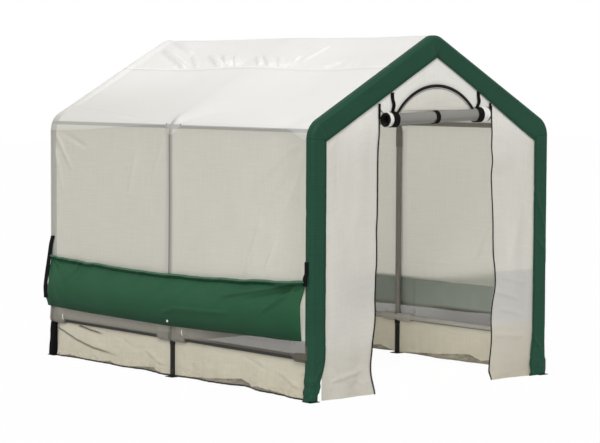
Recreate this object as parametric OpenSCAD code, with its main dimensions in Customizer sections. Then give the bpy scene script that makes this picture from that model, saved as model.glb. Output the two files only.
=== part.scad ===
// Walk-in garden greenhouse: a steel tube frame under a sewn, zipped fabric cover.
// Millimetres. The doorway faces -Y, +X is on the right seen from the front, +Z is up.
// The origin is on the ground, under the middle of the whole outline.

/* [Overall size] */
// Width over the closed side flaps
overall_w = 1820; // [1500:10:2600]
// Length of the cover, from the front panel to the rear panel
overall_l = 2540; // [1900:10:3600]
// Height of the ridge
overall_h = 1981; // [1850:1:2500]
// Slope of the roof in degrees
roof_pitch = 29.5; // [24:0.5:36]

/* [Tubes] */
// Outer diameter of the legs and rafters
tube_d = 35; // [28:1:42]
// Outer diameter of the lengthwise poles and rails
pole_d = 28; // [22:1:29]
// Wall of the tubes
tube_t = 1.5; // [1:0.1:3]
// Wall of the fittings that the tubes slip into
fitting_t = 2.2; // [1.5:0.1:3]
// Slip clearance of a tube in its fitting, on each side
slip = 0.3; // [0.2:0.05:0.5]
// Bend radius of the eave fittings, at the tube's axis
eave_r = 100; // [70:5:140]
// Bend radius of the ridge fittings, at the tube's axis
peak_r = 80; // [60:5:120]
// Length of the straight sleeve at each end of a bend
sleeve_l = 100; // [60:5:140]
// Length of a sleeve that laps the end of its bend
sleeve_lap = 6; // [4:1:10]
// Reach of a pole sleeve from the axis of its rib
pole_sleeve_l = 72; // [50:1:120]

/* [Rails and feet] */
// Height of the low side rails
rail_z = 232; // [180:1:320]
// Reach of a rail sleeve from the axis of its leg
tee_l = 122; // [70:1:160]
// Height of the collar of a rail fitting on its leg
tee_h = 84; // [60:2:120]
// Side of the square foot plates
plate_w = 72; // [64:1:110]
// Thickness of the foot plates
plate_t = 3; // [2:0.5:6]
// Height of the spigot that a leg stands on
spigot_h = 45; // [25:1:80]
// Wall of the spigots
spigot_t = 2; // [1.5:0.5:4]
// Radius of the anchor holes in the foot plates
anchor_r = 4.5; // [3:0.5:6]
// Distance of the anchor holes from the axis of the leg, towards the inside
anchor_in = 26; // [25:1:28]
// Spacing of the two anchor holes of a foot plate
anchor_gap = 44; // [20:1:48]
// Corner radius of the foot plates
plate_r = 6; // [2:1:8]

/* [Cover] */
// Thickness of the fabric panels
sheet_t = 2; // [1:0.5:3]
// Clearance between the soft pieces and their neighbours
lay = 0.3; // [0.1:0.1:0.5]
// Distance of the roof seams from the ridge line, level
seam_x = 235; // [180:5:400]
// Height of the lower edge of the fabric above the ground
hem_z = 4; // [0:1:30]

/* [Front trim] */
// Width of the trim on the front face
trim_w = 100; // [60:5:140]
// Length of the trim wrapped on to the walls and roof
trim_wrap = 45; // [30:5:100]

/* [Side vents] */
// Height of the top of the screens
vent_top = 600; // [450:10:800]
// Height of the lower edge of the flaps
flap_foot = 302; // [260:1:340]
// Height of the flaps
flap_h = 332; // [200:1:420]
// Sag of the upper edge of the flaps
flap_sag = 34; // [8:1:50]
// Width of the straps that hold the flaps
strap_w = 26; // [15:1:40]
// Thickness of the straps
strap_t = 2; // [1:0.5:3]
// Length of the flap straps
flap_strap_l = 110; // [60:5:200]
// Distance of the flap straps from the ends of the flaps
flap_strap_in = 6; // [2:1:60]

/* [Front end] */
// Clear width of the doorway
door_w = 850; // [600:10:1000]
// Distance of the top of the doorway below the ridge
door_drop = 394; // [380:1:480]
// Width of the zips
zip_w = 14; // [8:1:24]
// Thickness of the zips
zip_t = 2.5; // [1.5:0.5:4]
// Diameter of the rolled-up door
roll_d = 88; // [60:2:100]
// Gap between the ends of the roll and the sides of the doorway
roll_gap = 25; // [10:1:60]
// Thickness of the wound fabric round the hollow core of the roll
roll_t = 13; // [6:1:20]
// Distance of the middle of the end straps from the ends of the roll
roll_strap_in = 45; // [30:5:90]
// Width of the straps round the roll
roll_strap_w = 48; // [20:1:56]
// Width of the ties that carry the end straps
tie_w = 20; // [12:1:30]
// Length of the ties
tie_l = 108; // [60:2:140]

/* [Gable vents] */
// Gap between the zips of the gable vents and the ties of the roll
vent_side = 35; // [10:1:80]
// Height of the foot of the gable vents above the doorway
vent_up = 28; // [27:1:40]
// Height of the gable vent openings
vent_h = 88; // [60:2:130]
// Lap of the vent flaps past the openings
vent_lap = 12; // [6:1:18]

/* [Hidden] */
$fn = 64;

left = -1;
right = 1;
front = 0;
middle = 1;
rear = 2;

// Sizes of the fittings
fitting_d = tube_d + 2 * slip + 2 * fitting_t;
pole_fitting_d = pole_d + 2 * slip + 2 * fitting_t;
pole_stop = fitting_d / 2 + 1;

// Offsets of the cover's faces from the axis of a rib
cover_in = fitting_d / 2 + lay;
cover_out = cover_in + sheet_t;
flap_in = cover_out + lay;
flap_out = flap_in + sheet_t;

// Axis of a rib: upright legs, a bend at each eave, straight rafters and a bend at the ridge
leg_x = overall_w / 2 - flap_out;
eave_cx = leg_x - eave_r;
peak_cz = overall_h - cover_out - peak_r;
eave_z = peak_cz - (eave_cx * sin(roof_pitch) + eave_r - peak_r) / cos(roof_pitch);
rafter_l = (eave_cx + (eave_r - peak_r) * sin(roof_pitch)) / cos(roof_pitch);
eave_mid_a = (90 - roof_pitch) / 2;
eave_pole_x = eave_cx + eave_r * cos(eave_mid_a);
eave_pole_z = eave_z + eave_r * sin(eave_mid_a);
ridge_pole_z = peak_cz + peak_r;

// Places along the length: the roll stands out in front, so the middle rib stands behind the origin
bay = overall_l / 2 - cover_out;
roll_reach = roll_d / 2 + lay + strap_t;
front_reach = bay + max(cover_out - sheet_t / 2 + roll_reach, plate_w / 2);
rear_reach = bay + max(cover_out + lay + zip_t, plate_w / 2);
mid_y = (front_reach - rear_reach) / 2;
rib_y = [mid_y - bay, mid_y, mid_y + bay];
front_y = rib_y[front] - cover_out;
rear_y = rib_y[rear] + cover_out;
side_y = front_y + trim_wrap;
side_l = rear_y - side_y;

// Outline of the front face inside the trim
inner_x = leg_x + cover_out - trim_w;
inner_top = peak_cz + (peak_r + cover_out - trim_w) / cos(roof_pitch);
inner_eave = inner_top - inner_x * tan(roof_pitch);

// Front end
door_top = overall_h - door_drop;
roll_l = door_w - 2 * roll_gap;
roll_z = door_top - lay - roll_reach;
roll_y = front_y + sheet_t / 2;
vent_foot = door_top + vent_up;
vent_edge = vent_lap + lay + zip_w;
vent_half = roll_l / 2 - roll_strap_in - tie_w / 2 - vent_side;
vent_rise = vent_h + 2 * vent_edge;
vent_r = (pow(vent_half, 2) + pow(vent_rise, 2)) / (2 * vent_rise) - vent_edge;
vent_cz = vent_foot + vent_h - vent_r;

// Straight steps in each bend of the fabric
arc_steps = 12;
// Straight steps in the sagging edge of a flap
sag_steps = 16;

// Larger than any size of the object
beyond = 2 * (overall_l + overall_h);

// Point of the rib's axis where the straight rafter starts
rafter_low = [eave_cx + eave_r * sin(roof_pitch), eave_z + eave_r * cos(roof_pitch)];

// Points along an arc, between two angles from level
function arc(centre, r, from_a, to_a) = [
    for (i = [0:arc_steps])
        let (a = from_a + (to_a - from_a) * i / arc_steps)
            centre + r * [cos(a), sin(a)]
];

// End outline of the building, off the rib's axis by a distance
module house(off, foot) {
    polygon(concat(
        [[leg_x + off, foot]],
        arc([eave_cx, eave_z], eave_r + off, 0, 90 - roof_pitch),
        arc([0, peak_cz], peak_r + off, 90 - roof_pitch, 90 + roof_pitch),
        arc([-eave_cx, eave_z], eave_r + off, 90 + roof_pitch, 180),
        [[-leg_x - off, foot]]
    ));
}

// Outline of the front face inside the trim, with square-cut corners
module front_field() {
    polygon([
        [-inner_x, hem_z], [-inner_x, inner_eave], [0, inner_top],
        [inner_x, inner_eave], [inner_x, hem_z]
    ]);
}

// Section of the fabric over the frame
module cover_section() {
    difference() {
        house(cover_out, hem_z);
        house(cover_in, hem_z - sheet_t);
    }
}

// Half of the plane above the eaves, from one level distance outward to another
module above_eaves(s, from_x, to_x) {
    translate([s > 0 ? from_x : -to_x, eave_z])
        square([to_x - from_x, beyond]);
}

// Stands a front-view outline upright, from one place along the length for a distance
module along(y, l) {
    translate([0, y + l, 0])
        rotate([90, 0, 0])
            linear_extrude(l)
                children();
}

// A tube along +Z, of an outer diameter
module tube(d, l, t) {
    difference() {
        cylinder(d = d, h = l);
        translate([0, 0, -1])
            cylinder(d = d - 2 * t, h = l + 2);
    }
}

// A rod along +Y or -Y from a starting distance to an end
module rod_y(dir, d, from_l, to_l) {
    rotate([-90 * dir, 0, 0])
        translate([0, 0, from_l])
            cylinder(d = d, h = to_l - from_l);
}

// Directions in which a rib has neighbours along the length
function ways(k) = k == front ? [1] : k == rear ? [-1] : [-1, 1];

// Places a front-view drawing on a rib and a side
module on_rib(k, s) {
    translate([0, rib_y[k], 0])
        mirror([s < 0 ? 1 : 0, 0, 0])
            children();
}

// A bend in the plane of a rib, about the origin, between two angles from level
module bend(d, r, from_a, to_a) {
    rotate([90, 0, 0])
        rotate([0, 0, from_a])
            rotate_extrude(angle = to_a - from_a)
                translate([r, 0])
                    circle(d = d);
}

// A straight round length in the plane of a rib, set off along a bend's tangent
module tangent(d, r, at_a, lap, l, turn) {
    rotate([0, -at_a, 0])
        translate([r, 0, 0])
            rotate([turn > 0 ? 0 : 180, 0, 0])
                translate([0, 0, -lap])
                    cylinder(d = d, h = lap + l);
}

// A bent fitting with a sleeve at each end and pole sleeves on the middle of its bend
module bent_fitting(r, from_a, to_a, dirs) {
    mid_a = (from_a + to_a) / 2;
    bore_lap_a = 1;
    difference() {
        union() {
            bend(tube_d, r, from_a, to_a);
            tangent(fitting_d, r, from_a, sleeve_lap, sleeve_l, -1);
            tangent(fitting_d, r, to_a, sleeve_lap, sleeve_l, 1);
            for (dir = dirs)
                rotate([0, -mid_a, 0])
                    translate([r, 0, 0])
                        rod_y(dir, pole_fitting_d, 0, pole_sleeve_l);
        }
        bend(tube_d - 2 * tube_t, r, from_a - bore_lap_a, to_a + bore_lap_a);
        tangent(tube_d + 2 * slip, r, from_a, 0, sleeve_l + 1, -1);
        tangent(tube_d + 2 * slip, r, to_a, 0, sleeve_l + 1, 1);
        for (dir = dirs)
            rotate([0, -mid_a, 0])
                translate([r, 0, 0])
                    rod_y(dir, pole_d + 2 * slip, pole_stop, pole_sleeve_l + 1);
    }
}

module legs(k) {
    color("dimgray")
        for (s = [left, right])
            translate([s * leg_x, rib_y[k], plate_t])
                tube(tube_d, eave_z - plate_t, tube_t);
}

module rafters(k) {
    color("gray")
        for (s = [left, right])
            on_rib(k, s)
                translate([rafter_low[0], 0, rafter_low[1]])
                    rotate([0, roof_pitch - 90, 0])
                        tube(tube_d, rafter_l, tube_t);
}

module eave_bends(k) {
    color("gray")
        for (s = [left, right])
            on_rib(k, s)
                translate([eave_cx, 0, eave_z])
                    bent_fitting(eave_r, 0, 90 - roof_pitch, ways(k));
}

module ridge_fittings() {
    color("gray")
        for (k = [front, middle, rear])
            translate([0, rib_y[k], peak_cz])
                bent_fitting(peak_r, 90 - roof_pitch, 90 + roof_pitch, ways(k));
}

// One foot: a plate with rounded corners, two anchor holes inside and a spigot for the leg
module foot(s) {
    corner = plate_w / 2 - plate_r;
    difference() {
        union() {
            translate([-plate_w / 2, -corner, 0])
                cube([plate_w, 2 * corner, plate_t]);
            translate([-corner, -plate_w / 2, 0])
                cube([2 * corner, plate_w, plate_t]);
            for (x = [-corner, corner], y = [-corner, corner])
                translate([x, y, 0])
                    cylinder(r = plate_r, h = plate_t);
        }
        for (y = [-anchor_gap / 2, anchor_gap / 2])
            translate([-s * anchor_in, y, -1])
                cylinder(r = anchor_r, h = plate_t + 2);
    }
    translate([0, 0, plate_t])
        tube(tube_d - 2 * tube_t - 2 * slip, spigot_h, spigot_t);
}

module foot_plates() {
    color([0.25, 0.24, 0.23])
        for (k = [front, middle, rear], s = [left, right])
            translate([s * leg_x, rib_y[k], 0])
                foot(s);
}

// A collar on the leg with a sleeve for the rail in each direction
module rail_fitting(dirs) {
    difference() {
        union() {
            translate([0, 0, -tee_h / 2])
                cylinder(d = fitting_d, h = tee_h);
            for (dir = dirs)
                rod_y(dir, pole_fitting_d, 0, tee_l);
        }
        translate([0, 0, -tee_h])
            cylinder(d = tube_d + 2 * slip, h = 2 * tee_h);
        for (dir = dirs)
            rod_y(dir, pole_d + 2 * slip, pole_stop, tee_l + 1);
    }
}

module rail_fittings() {
    color("gray")
        for (k = [front, middle, rear], s = [left, right])
            translate([s * leg_x, rib_y[k], rail_z])
                rail_fitting(ways(k));
}

// The two lengths of a pole, one in each bay
module poles(x, z) {
    color("gray")
        for (k = [front, middle])
            translate([x, rib_y[k] + pole_stop, z])
                rotate([-90, 0, 0])
                    tube(pole_d, bay - 2 * pole_stop, tube_t);
}

module ridge_cover() {
    color("white")
        along(side_y, side_l)
            intersection() {
                cover_section();
                union() {
                    above_eaves(left, 0, seam_x);
                    above_eaves(right, 0, seam_x);
                }
            }
}

module roof_cover(s) {
    color("white")
        along(side_y, side_l)
            intersection() {
                cover_section();
                above_eaves(s, seam_x, overall_w);
            }
}

// A flat upright sheet on a side, between two offsets from the legs
module side_sheet(s, off, t, y, l, z, h) {
    translate([s > 0 ? leg_x + off : -leg_x - off - t, y, z])
        cube([t, l, h]);
}

module wall_cover(s) {
    color([0.80, 0.79, 0.73])
        side_sheet(s, cover_in, sheet_t, side_y, side_l, vent_top, eave_z - vent_top);
}

module vent_screen(s) {
    screen_foot = rail_z - pole_d / 2;
    color([0.45, 0.46, 0.44])
        side_sheet(s, cover_in, sheet_t, side_y, side_l, screen_foot, vent_top - screen_foot);
}

// A flap whose upper edge sags between its ends
module vent_flap(s) {
    upper = [
        for (i = [0:sag_steps])
            let (u = 1 - 2 * i / sag_steps)
                [side_l * (1 + u) / 2, flap_h - flap_sag * (1 - u * u)]
    ];
    color([0.20, 0.36, 0.26])
        translate([s > 0 ? leg_x + flap_in : -leg_x - flap_out, side_y, flap_foot])
            rotate([90, 0, 90])
                linear_extrude(sheet_t)
                    polygon(concat([[0, 0], [side_l, 0]], upper));
}

module flap_straps() {
    strap_z = flap_foot + flap_h + lay;
    color([0.08, 0.08, 0.08])
        for (s = [left, right], y = [side_y + flap_strap_in, rear_y - flap_strap_in - strap_w])
            side_sheet(s, flap_in, strap_t, y, strap_w, strap_z, flap_strap_l);
}

module skirts(s) {
    skirt_in = fitting_d / 2 + lay;
    skirt_top = rail_z - pole_fitting_d / 2 - lay;
    color([0.78, 0.75, 0.66])
        for (k = [front, middle])
            side_sheet(s, -sheet_t / 2, sheet_t, rib_y[k] + skirt_in, bay - 2 * skirt_in,
                hem_z, skirt_top - hem_z);
}

// The panel beside the doorway
module front_panel(s) {
    color([0.82, 0.80, 0.75])
        along(front_y, sheet_t)
            intersection() {
                front_field();
                translate([s > 0 ? door_w / 2 : -overall_w - door_w / 2, 0])
                    square([overall_w, door_top]);
            }
}

// The round-topped outline of a gable vent, grown by a distance
module vent_outline(grow) {
    intersection() {
        translate([0, vent_cz])
            circle(vent_r + grow);
        translate([-overall_w / 2, vent_foot - grow])
            square([overall_w, vent_h + 2 * grow]);
    }
}

module front_gable_panel() {
    color([0.82, 0.80, 0.75])
        along(front_y, sheet_t)
            difference() {
                intersection() {
                    front_field();
                    translate([-overall_w, door_top])
                        square([2 * overall_w, overall_h]);
                }
                vent_outline(0);
            }
}

module leg_trim(s) {
    trim_h = eave_z - hem_z;
    color([0.15, 0.31, 0.24]) {
        translate([s > 0 ? inner_x : -inner_x - trim_w, front_y, hem_z])
            cube([trim_w, sheet_t, trim_h]);
        side_sheet(s, cover_in, sheet_t, front_y, trim_wrap, hem_z, trim_h);
    }
}

module rake_trim(s) {
    color([0.15, 0.31, 0.24])
        union() {
            along(front_y, sheet_t)
                intersection() {
                    difference() {
                        house(cover_out, hem_z);
                        front_field();
                    }
                    above_eaves(s, 0, overall_w);
                }
            along(front_y, trim_wrap)
                intersection() {
                    cover_section();
                    above_eaves(s, 0, overall_w);
                }
        }
}

module door_zips() {
    color([0.10, 0.10, 0.10])
        for (s = [left, right])
            translate([s > 0 ? door_w / 2 : -door_w / 2 - zip_w, front_y - lay - zip_t, hem_z])
                cube([zip_w, zip_t, door_top - hem_z]);
}

module door_roll() {
    color([0.55, 0.55, 0.50])
        translate([-roll_l / 2, roll_y, roll_z])
            rotate([0, 90, 0])
                tube(roll_d, roll_l, roll_t);
}

module roll_straps() {
    end_x = roll_l / 2 - roll_strap_in;
    color([0.08, 0.08, 0.08]) {
        for (x = [-end_x, 0, end_x])
            translate([x - roll_strap_w / 2, roll_y, roll_z])
                rotate([0, 90, 0])
                    tube(2 * roll_reach, roll_strap_w, strap_t);
        for (x = [-end_x, end_x])
            translate([x - tie_w / 2, front_y - lay - strap_t, roll_z + roll_reach - strap_t / 2])
                cube([tie_w, strap_t, tie_l]);
    }
}

module rear_panel() {
    color([0.82, 0.80, 0.75])
        along(rear_y - sheet_t, sheet_t)
            difference() {
                house(cover_in - lay, hem_z);
                vent_outline(0);
            }
}

module front_vent_flap() {
    color([0.82, 0.80, 0.75])
        along(front_y - lay - sheet_t, sheet_t)
            vent_outline(vent_lap);
}

module rear_vent_flap() {
    color([0.82, 0.80, 0.75])
        along(rear_y + lay, sheet_t)
            vent_outline(vent_lap);
}

module gable_vent_screens() {
    color([0.45, 0.46, 0.44])
        for (y = [front_y, rear_y - sheet_t])
            along(y, sheet_t)
                vent_outline(-lay);
}

module gable_vent_zips() {
    color([0.10, 0.10, 0.10])
        for (y = [front_y - lay - zip_t, rear_y + lay])
            along(y, zip_t)
                difference() {
                    vent_outline(vent_edge);
                    vent_outline(vent_lap + lay);
                }
}

legs(front);  // front_legs
legs(middle);  // middle_legs
legs(rear);  // rear_legs
rafters(front);  // front_rafters
rafters(middle);  // middle_rafters
rafters(rear);  // rear_rafters
eave_bends(front);  // front_eave_bends
eave_bends(middle);  // middle_eave_bends
eave_bends(rear);  // rear_eave_bends
ridge_fittings();
foot_plates();
rail_fittings();
poles(0, ridge_pole_z);  // ridge_poles
poles(-eave_pole_x, eave_pole_z);  // left_eave_poles
poles(eave_pole_x, eave_pole_z);  // right_eave_poles
poles(-leg_x, rail_z);  // left_rails
poles(leg_x, rail_z);  // right_rails
ridge_cover();
roof_cover(left);  // left_roof_cover
roof_cover(right);  // right_roof_cover
wall_cover(left);  // left_wall_cover
wall_cover(right);  // right_wall_cover
vent_screen(left);  // left_vent_screen
vent_screen(right);  // right_vent_screen
vent_flap(left);  // left_vent_flap
vent_flap(right);  // right_vent_flap
flap_straps();
skirts(left);  // left_skirts
skirts(right);  // right_skirts
front_panel(left);  // front_left_panel
front_panel(right);  // front_right_panel
front_gable_panel();
leg_trim(left);  // left_leg_trim
leg_trim(right);  // right_leg_trim
rake_trim(left);  // left_rake_trim
rake_trim(right);  // right_rake_trim
door_zips();
door_roll();
roll_straps();
rear_panel();
front_vent_flap();
rear_vent_flap();
gable_vent_screens();
gable_vent_zips();
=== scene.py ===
"""Walk-in garden greenhouse: white woven cover with green trim, zipped and strapped on a grey tube frame."""
import math

import bpy
import numpy as np
from mathutils import Matrix, Vector


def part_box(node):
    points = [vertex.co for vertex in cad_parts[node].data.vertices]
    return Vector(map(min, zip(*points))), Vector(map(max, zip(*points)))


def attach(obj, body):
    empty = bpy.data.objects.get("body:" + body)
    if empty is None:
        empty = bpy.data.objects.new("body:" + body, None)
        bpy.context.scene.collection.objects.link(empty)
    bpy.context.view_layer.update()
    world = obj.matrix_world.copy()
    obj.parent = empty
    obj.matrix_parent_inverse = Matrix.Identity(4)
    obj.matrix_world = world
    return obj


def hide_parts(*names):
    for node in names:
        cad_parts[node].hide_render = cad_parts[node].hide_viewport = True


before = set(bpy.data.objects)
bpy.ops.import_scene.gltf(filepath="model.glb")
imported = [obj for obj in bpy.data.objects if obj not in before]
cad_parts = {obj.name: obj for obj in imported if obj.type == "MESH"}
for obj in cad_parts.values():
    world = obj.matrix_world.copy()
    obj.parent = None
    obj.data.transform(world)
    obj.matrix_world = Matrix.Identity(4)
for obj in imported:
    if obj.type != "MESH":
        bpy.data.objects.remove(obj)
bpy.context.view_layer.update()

# Places of the frame and the cover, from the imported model


def corners(node):
    """Lowest and highest corner of a node, as arrays."""
    return np.array(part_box(node))


LEFT, RIGHT = -1, 1
SIDES = ((LEFT, "left"), (RIGHT, "right"))
LEG_LOW, LEG_HIGH = corners("middle_legs")
TUBE_R = (LEG_HIGH[1] - LEG_LOW[1]) / 2
LEG_X = LEG_HIGH[0] - TUBE_R
RIB_Y = [sum(corners(legs))[1] / 2 for legs in ("front_legs", "middle_legs", "rear_legs")]
FRONT_RIB, MIDDLE_RIB, REAR_RIB = RIB_Y
WALL_LOW, WALL_HIGH = corners("right_wall_cover")
SHEET = WALL_HIGH[0] - WALL_LOW[0]
OUTER = WALL_HIGH[0] - LEG_X
COVER = OUTER - SHEET / 2
EAVE_Z, VENT_TOP = WALL_HIGH[2], WALL_LOW[2]
SIDE_Y, REAR_Y = WALL_LOW[1], WALL_HIGH[1]
FRONT_Y = corners("front_left_panel")[0][1]
HEM = corners("front_left_panel")[0][2]
INNER_X = corners("front_right_panel")[1][0]
DOOR_HALF = corners("front_right_panel")[0][0]
DOOR_TOP, INNER_TOP = (corners("front_gable_panel")[i][2] for i in (0, 1))
RIDGE_TOP = corners("ridge_cover")[1][2]
SEAM_X = corners("ridge_cover")[1][0]
RIDGE_POLE_Z = sum(corners("ridge_poles"))[2] / 2
EAVE_POLE = sum(corners("right_eave_poles")) / 2
RAIL = sum(corners("right_rails")) / 2
POLE_R = (corners("right_rails")[1][2] - corners("right_rails")[0][2]) / 2
FLAP_LOW, FLAP_HIGH = corners("right_vent_flap")
ROLL_LOW, ROLL_HIGH = corners("door_roll")
ROLL = (ROLL_LOW + ROLL_HIGH) / 2
ROLL_R = (ROLL_HIGH[2] - ROLL_LOW[2]) / 2
ROLL_HALF = ROLL_HIGH[0]
# The half-moons show lower than their solids, at the foot and at the top
MOON_DROP = np.array([[0, 0, 0.041], [0, 0, 0.023]])
VENT_LOW, VENT_HIGH = corners("front_vent_flap") - MOON_DROP

# Bends of the ribs and the slope of the roof
ROOF_PITCH = math.radians(29.5)
EAVE_BEND = 0.100
RIDGE_BEND = 0.080
TRIM_W = 0.100
RAKE_TRIM_W = 0.126
EAVE_CX = LEG_X - EAVE_BEND
PEAK_Z = RIDGE_TOP - OUTER - RIDGE_BEND
SIN_P, COS_P, TAN_P = math.sin(ROOF_PITCH), math.cos(ROOF_PITCH), math.tan(ROOF_PITCH)
RAFTER_HIGH = np.array([RIDGE_BEND * SIN_P, PEAK_Z + RIDGE_BEND * COS_P])
RAFTER_LOW = np.array([EAVE_CX + EAVE_BEND * SIN_P, EAVE_Z + EAVE_BEND * COS_P])
RAFTER_LINE = RAFTER_LOW[0] * SIN_P + RAFTER_LOW[1] * COS_P
WRAPPED_POLE = POLE_R + 0.0015
VENT_LAP = 0.012
VENT_H = VENT_HIGH[2] - VENT_LOW[2]
VENT_R = (VENT_HIGH[0] ** 2 + VENT_H ** 2) / (2 * VENT_H)
VENT_CZ = VENT_HIGH[2] - VENT_R
ZIP_W = 0.017
CLOTH_T = 0.0012
STITCH_LIFT = 0.0014
FRONTWARD = (0, -1, 0)

# Small tools for shapes


def ease(x, low, high):
    """0 below low, 1 above high, smooth between."""
    f = np.clip((x - low) / (high - low), 0, 1)
    return f * f * (3 - 2 * f)


LATTICE = np.random.default_rng(11).uniform(-1, 1, (97, 89))


def rumple(a, b):
    """Smooth seeded noise from -1 to 1, with a lump for each unit of a and b."""
    a, b = np.broadcast_arrays(a, b)
    ai, bi = np.floor(a).astype(int), np.floor(b).astype(int)
    fa, fb = a - ai, b - bi
    fa, fb = fa * fa * (3 - 2 * fa), fb * fb * (3 - 2 * fb)
    rows, cols = LATTICE.shape
    near = LATTICE[ai % rows, bi % cols] * (1 - fb) + LATTICE[ai % rows, (bi + 1) % cols] * fb
    far = LATTICE[(ai + 1) % rows, bi % cols] * (1 - fb) + LATTICE[(ai + 1) % rows, (bi + 1) % cols] * fb
    return near * (1 - fa) + far * fa


def crease(a, b, start, end, width):
    """1 along a straight line between two places, falling off over its width and at both ends."""
    (a0, b0), (a1, b1) = start, end
    length = math.hypot(a1 - a0, b1 - b0)
    along_a, along_b = (a1 - a0) / length, (b1 - b0) / length
    along = ((a - a0) * along_a + (b - b0) * along_b) / length
    off = (a - a0) * along_b - (b - b0) * along_a
    return np.exp(-(off / width) ** 2) * ease(along, -0.05, 0.2) * (1 - ease(along, 0.8, 1.05))


def creases(a, b, lines):
    """Height of several creases, each (start, end, width, height)."""
    return sum(height * crease(a, b, start, end, width) for start, end, width, height in lines)


def spread(*stops, gap):
    """Values from stop to stop, about one gap apart."""
    runs = [np.linspace(a, b, max(2, math.ceil(abs(b - a) / gap) + 1))[:-1] for a, b in zip(stops, stops[1:])]
    return np.concatenate(runs + [stops[-1:]])


def steps(*runs):
    """Values through several runs, each of stops and then a gap, with no value twice."""
    parts = [spread(*stops, gap=gap) for *stops, gap in runs]
    return np.concatenate(parts[:1] + [part[1:] for part in parts[1:]])


def through(z, stops):
    """A smooth curve through (place, value) stops."""
    places, values = zip(*sorted(stops))
    total = np.zeros_like(z) + values[0]
    for a, b, u, v in zip(places, places[1:], values, values[1:]):
        total = total + (v - u) * ease(z, a, b)
    return total


def stacked(x, y, z):
    """Points from three arrays of one shape."""
    return np.stack(np.broadcast_arrays(x, y, z), -1).astype(float)


def linked(obj):
    """Puts a new object into the scene."""
    bpy.context.collection.objects.link(obj)
    return obj


def mesh_object(name, vertices, faces, finish, uv=None, edge=None, shade=None):
    """A smooth mesh object.

    uv gives a place in metres and shade how much painted shade darkens its folds, for each vertex.
    Edges bent past edge stay sharp.
    """
    mesh = bpy.data.meshes.new(name)
    mesh.from_pydata(vertices.tolist(), [], faces.tolist())
    if uv is not None:
        layer = mesh.uv_layers.new(name="cloth")
        corner = np.empty(len(mesh.loops), dtype=np.int32)
        mesh.loops.foreach_get("vertex_index", corner)
        layer.data.foreach_set("uv", uv[corner].astype(np.float32).ravel())
    if shade is not None:
        layer = mesh.attributes.new("fold", "FLOAT", "POINT")
        layer.data.foreach_set("value", shade.astype(np.float32))
    mesh.polygons.foreach_set("use_smooth", np.ones(len(mesh.polygons), dtype=bool))
    if edge is not None:
        mesh.set_sharp_from_angle(angle=edge)
    mesh.materials.append(finish.material)
    mesh.update()
    return linked(bpy.data.objects.new(name, mesh))


def lengths(points):
    """Distance from the start along the second axis, averaged over the first."""
    steps = np.linalg.norm(np.diff(points, axis=1), axis=2).mean(axis=0)
    return np.concatenate([[0], np.cumsum(steps)])


def sheet_faces(rows, cols):
    """Quads of a grid of points, row by row."""
    index = np.arange(rows * cols).reshape(rows, cols)
    quads = [index[:-1, :-1], index[:-1, 1:], index[1:, 1:], index[1:, :-1]]
    return np.stack(quads, -1).reshape(-1, 4)


MIDDLE = np.array([0, 0, EAVE_Z / 2])


def outward(points, faces):
    """The faces, turned round where most of them would point at the middle of the building."""
    a, b, c = (points[faces[:, i]] for i in (0, 1, 2))
    if np.sum(np.cross(b - a, c - a) * (a - MIDDLE)) < 0:
        return faces[:, ::-1]
    return faces


def grid_object(name, points, finish, keep=None, shade=None):
    """A sheet from a grid of points; keep picks faces by their middles, and shade darkens folds."""
    rows, cols = points.shape[:2]
    u, v = lengths(points), lengths(points.swapaxes(0, 1))
    uv = np.stack(np.broadcast_arrays(u[None, :], v[:, None]), -1).reshape(-1, 2)
    flat = points.reshape(-1, 3)
    faces = outward(flat, sheet_faces(rows, cols))
    if keep is not None:
        faces = faces[keep(flat[faces].mean(axis=1))]
        used, renamed = np.unique(faces, return_inverse=True)
        flat, uv, faces = flat[used], uv[used], renamed.reshape(-1, 4)
    return mesh_object(name, flat, faces, finish, uv, shade=None if shade is None else shade.ravel())


def strip(path, normals, width_dir, width, thickness):
    """Vertices, faces and places of a flat strap along a path; one normal may serve the whole path."""
    path = np.asarray(path, float)
    wide = np.asarray(width_dir, float) * width / 2
    lift = np.asarray(normals, float) * thickness
    rows = np.stack([path - wide, path + wide, path + wide + lift, path - wide + lift], axis=1)
    count = len(path)
    points = rows.reshape(-1, 3)
    faces = []
    for i in range(count - 1):
        for j in range(4):
            k = (j + 1) % 4
            faces.append([4 * i + j, 4 * i + k, 4 * i + 4 + k, 4 * i + 4 + j])
    faces += [[3, 2, 1, 0], [4 * count - 4, 4 * count - 3, 4 * count - 2, 4 * count - 1]]
    run = np.concatenate([[0], np.cumsum(np.linalg.norm(np.diff(path, axis=0), axis=1))])
    uv = np.stack([np.repeat(run, 4), np.tile([0, width, width, 0], count)], -1)
    return points, np.array(faces), uv


def joined(parts):
    """One mesh's data from several."""
    points, faces, uv, start = [], [], [], 0
    for p, f, u in parts:
        points.append(p)
        faces.append(f + start)
        uv.append(u)
        start += len(p)
    return np.concatenate(points), np.concatenate(faces), np.concatenate(uv)


def strap_object(name, parts, finish, edge_deg=40):
    """One sharp-edged piece from several straps."""
    points, faces, uv = joined(parts)
    return mesh_object(name, points, faces, finish, uv, math.radians(edge_deg))


def fitted(piece, slot, *nodes):
    """Makes a finished piece ride on the frame and hides the nodes that it stands for; slot is not used."""
    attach(piece, "root")
    if nodes:
        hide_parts(*nodes)
    return piece


def thicken(piece, thickness=CLOTH_T):
    """Gives a sheet its thickness, half on each side."""
    modifier = piece.modifiers.new("thickness", "SOLIDIFY")
    modifier.thickness = thickness
    modifier.offset = 0
    return piece


# Camera at the photograph's place

WIDTH_PX = 600
FOCAL_PX = 2112
SENSOR_MM = 36
CAMERA_AT = (-8.152, -9.851, 1.731)
YAW, PITCH, ROLL_A = (math.radians(a) for a in (39.81, 3.84, 0.28))

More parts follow.
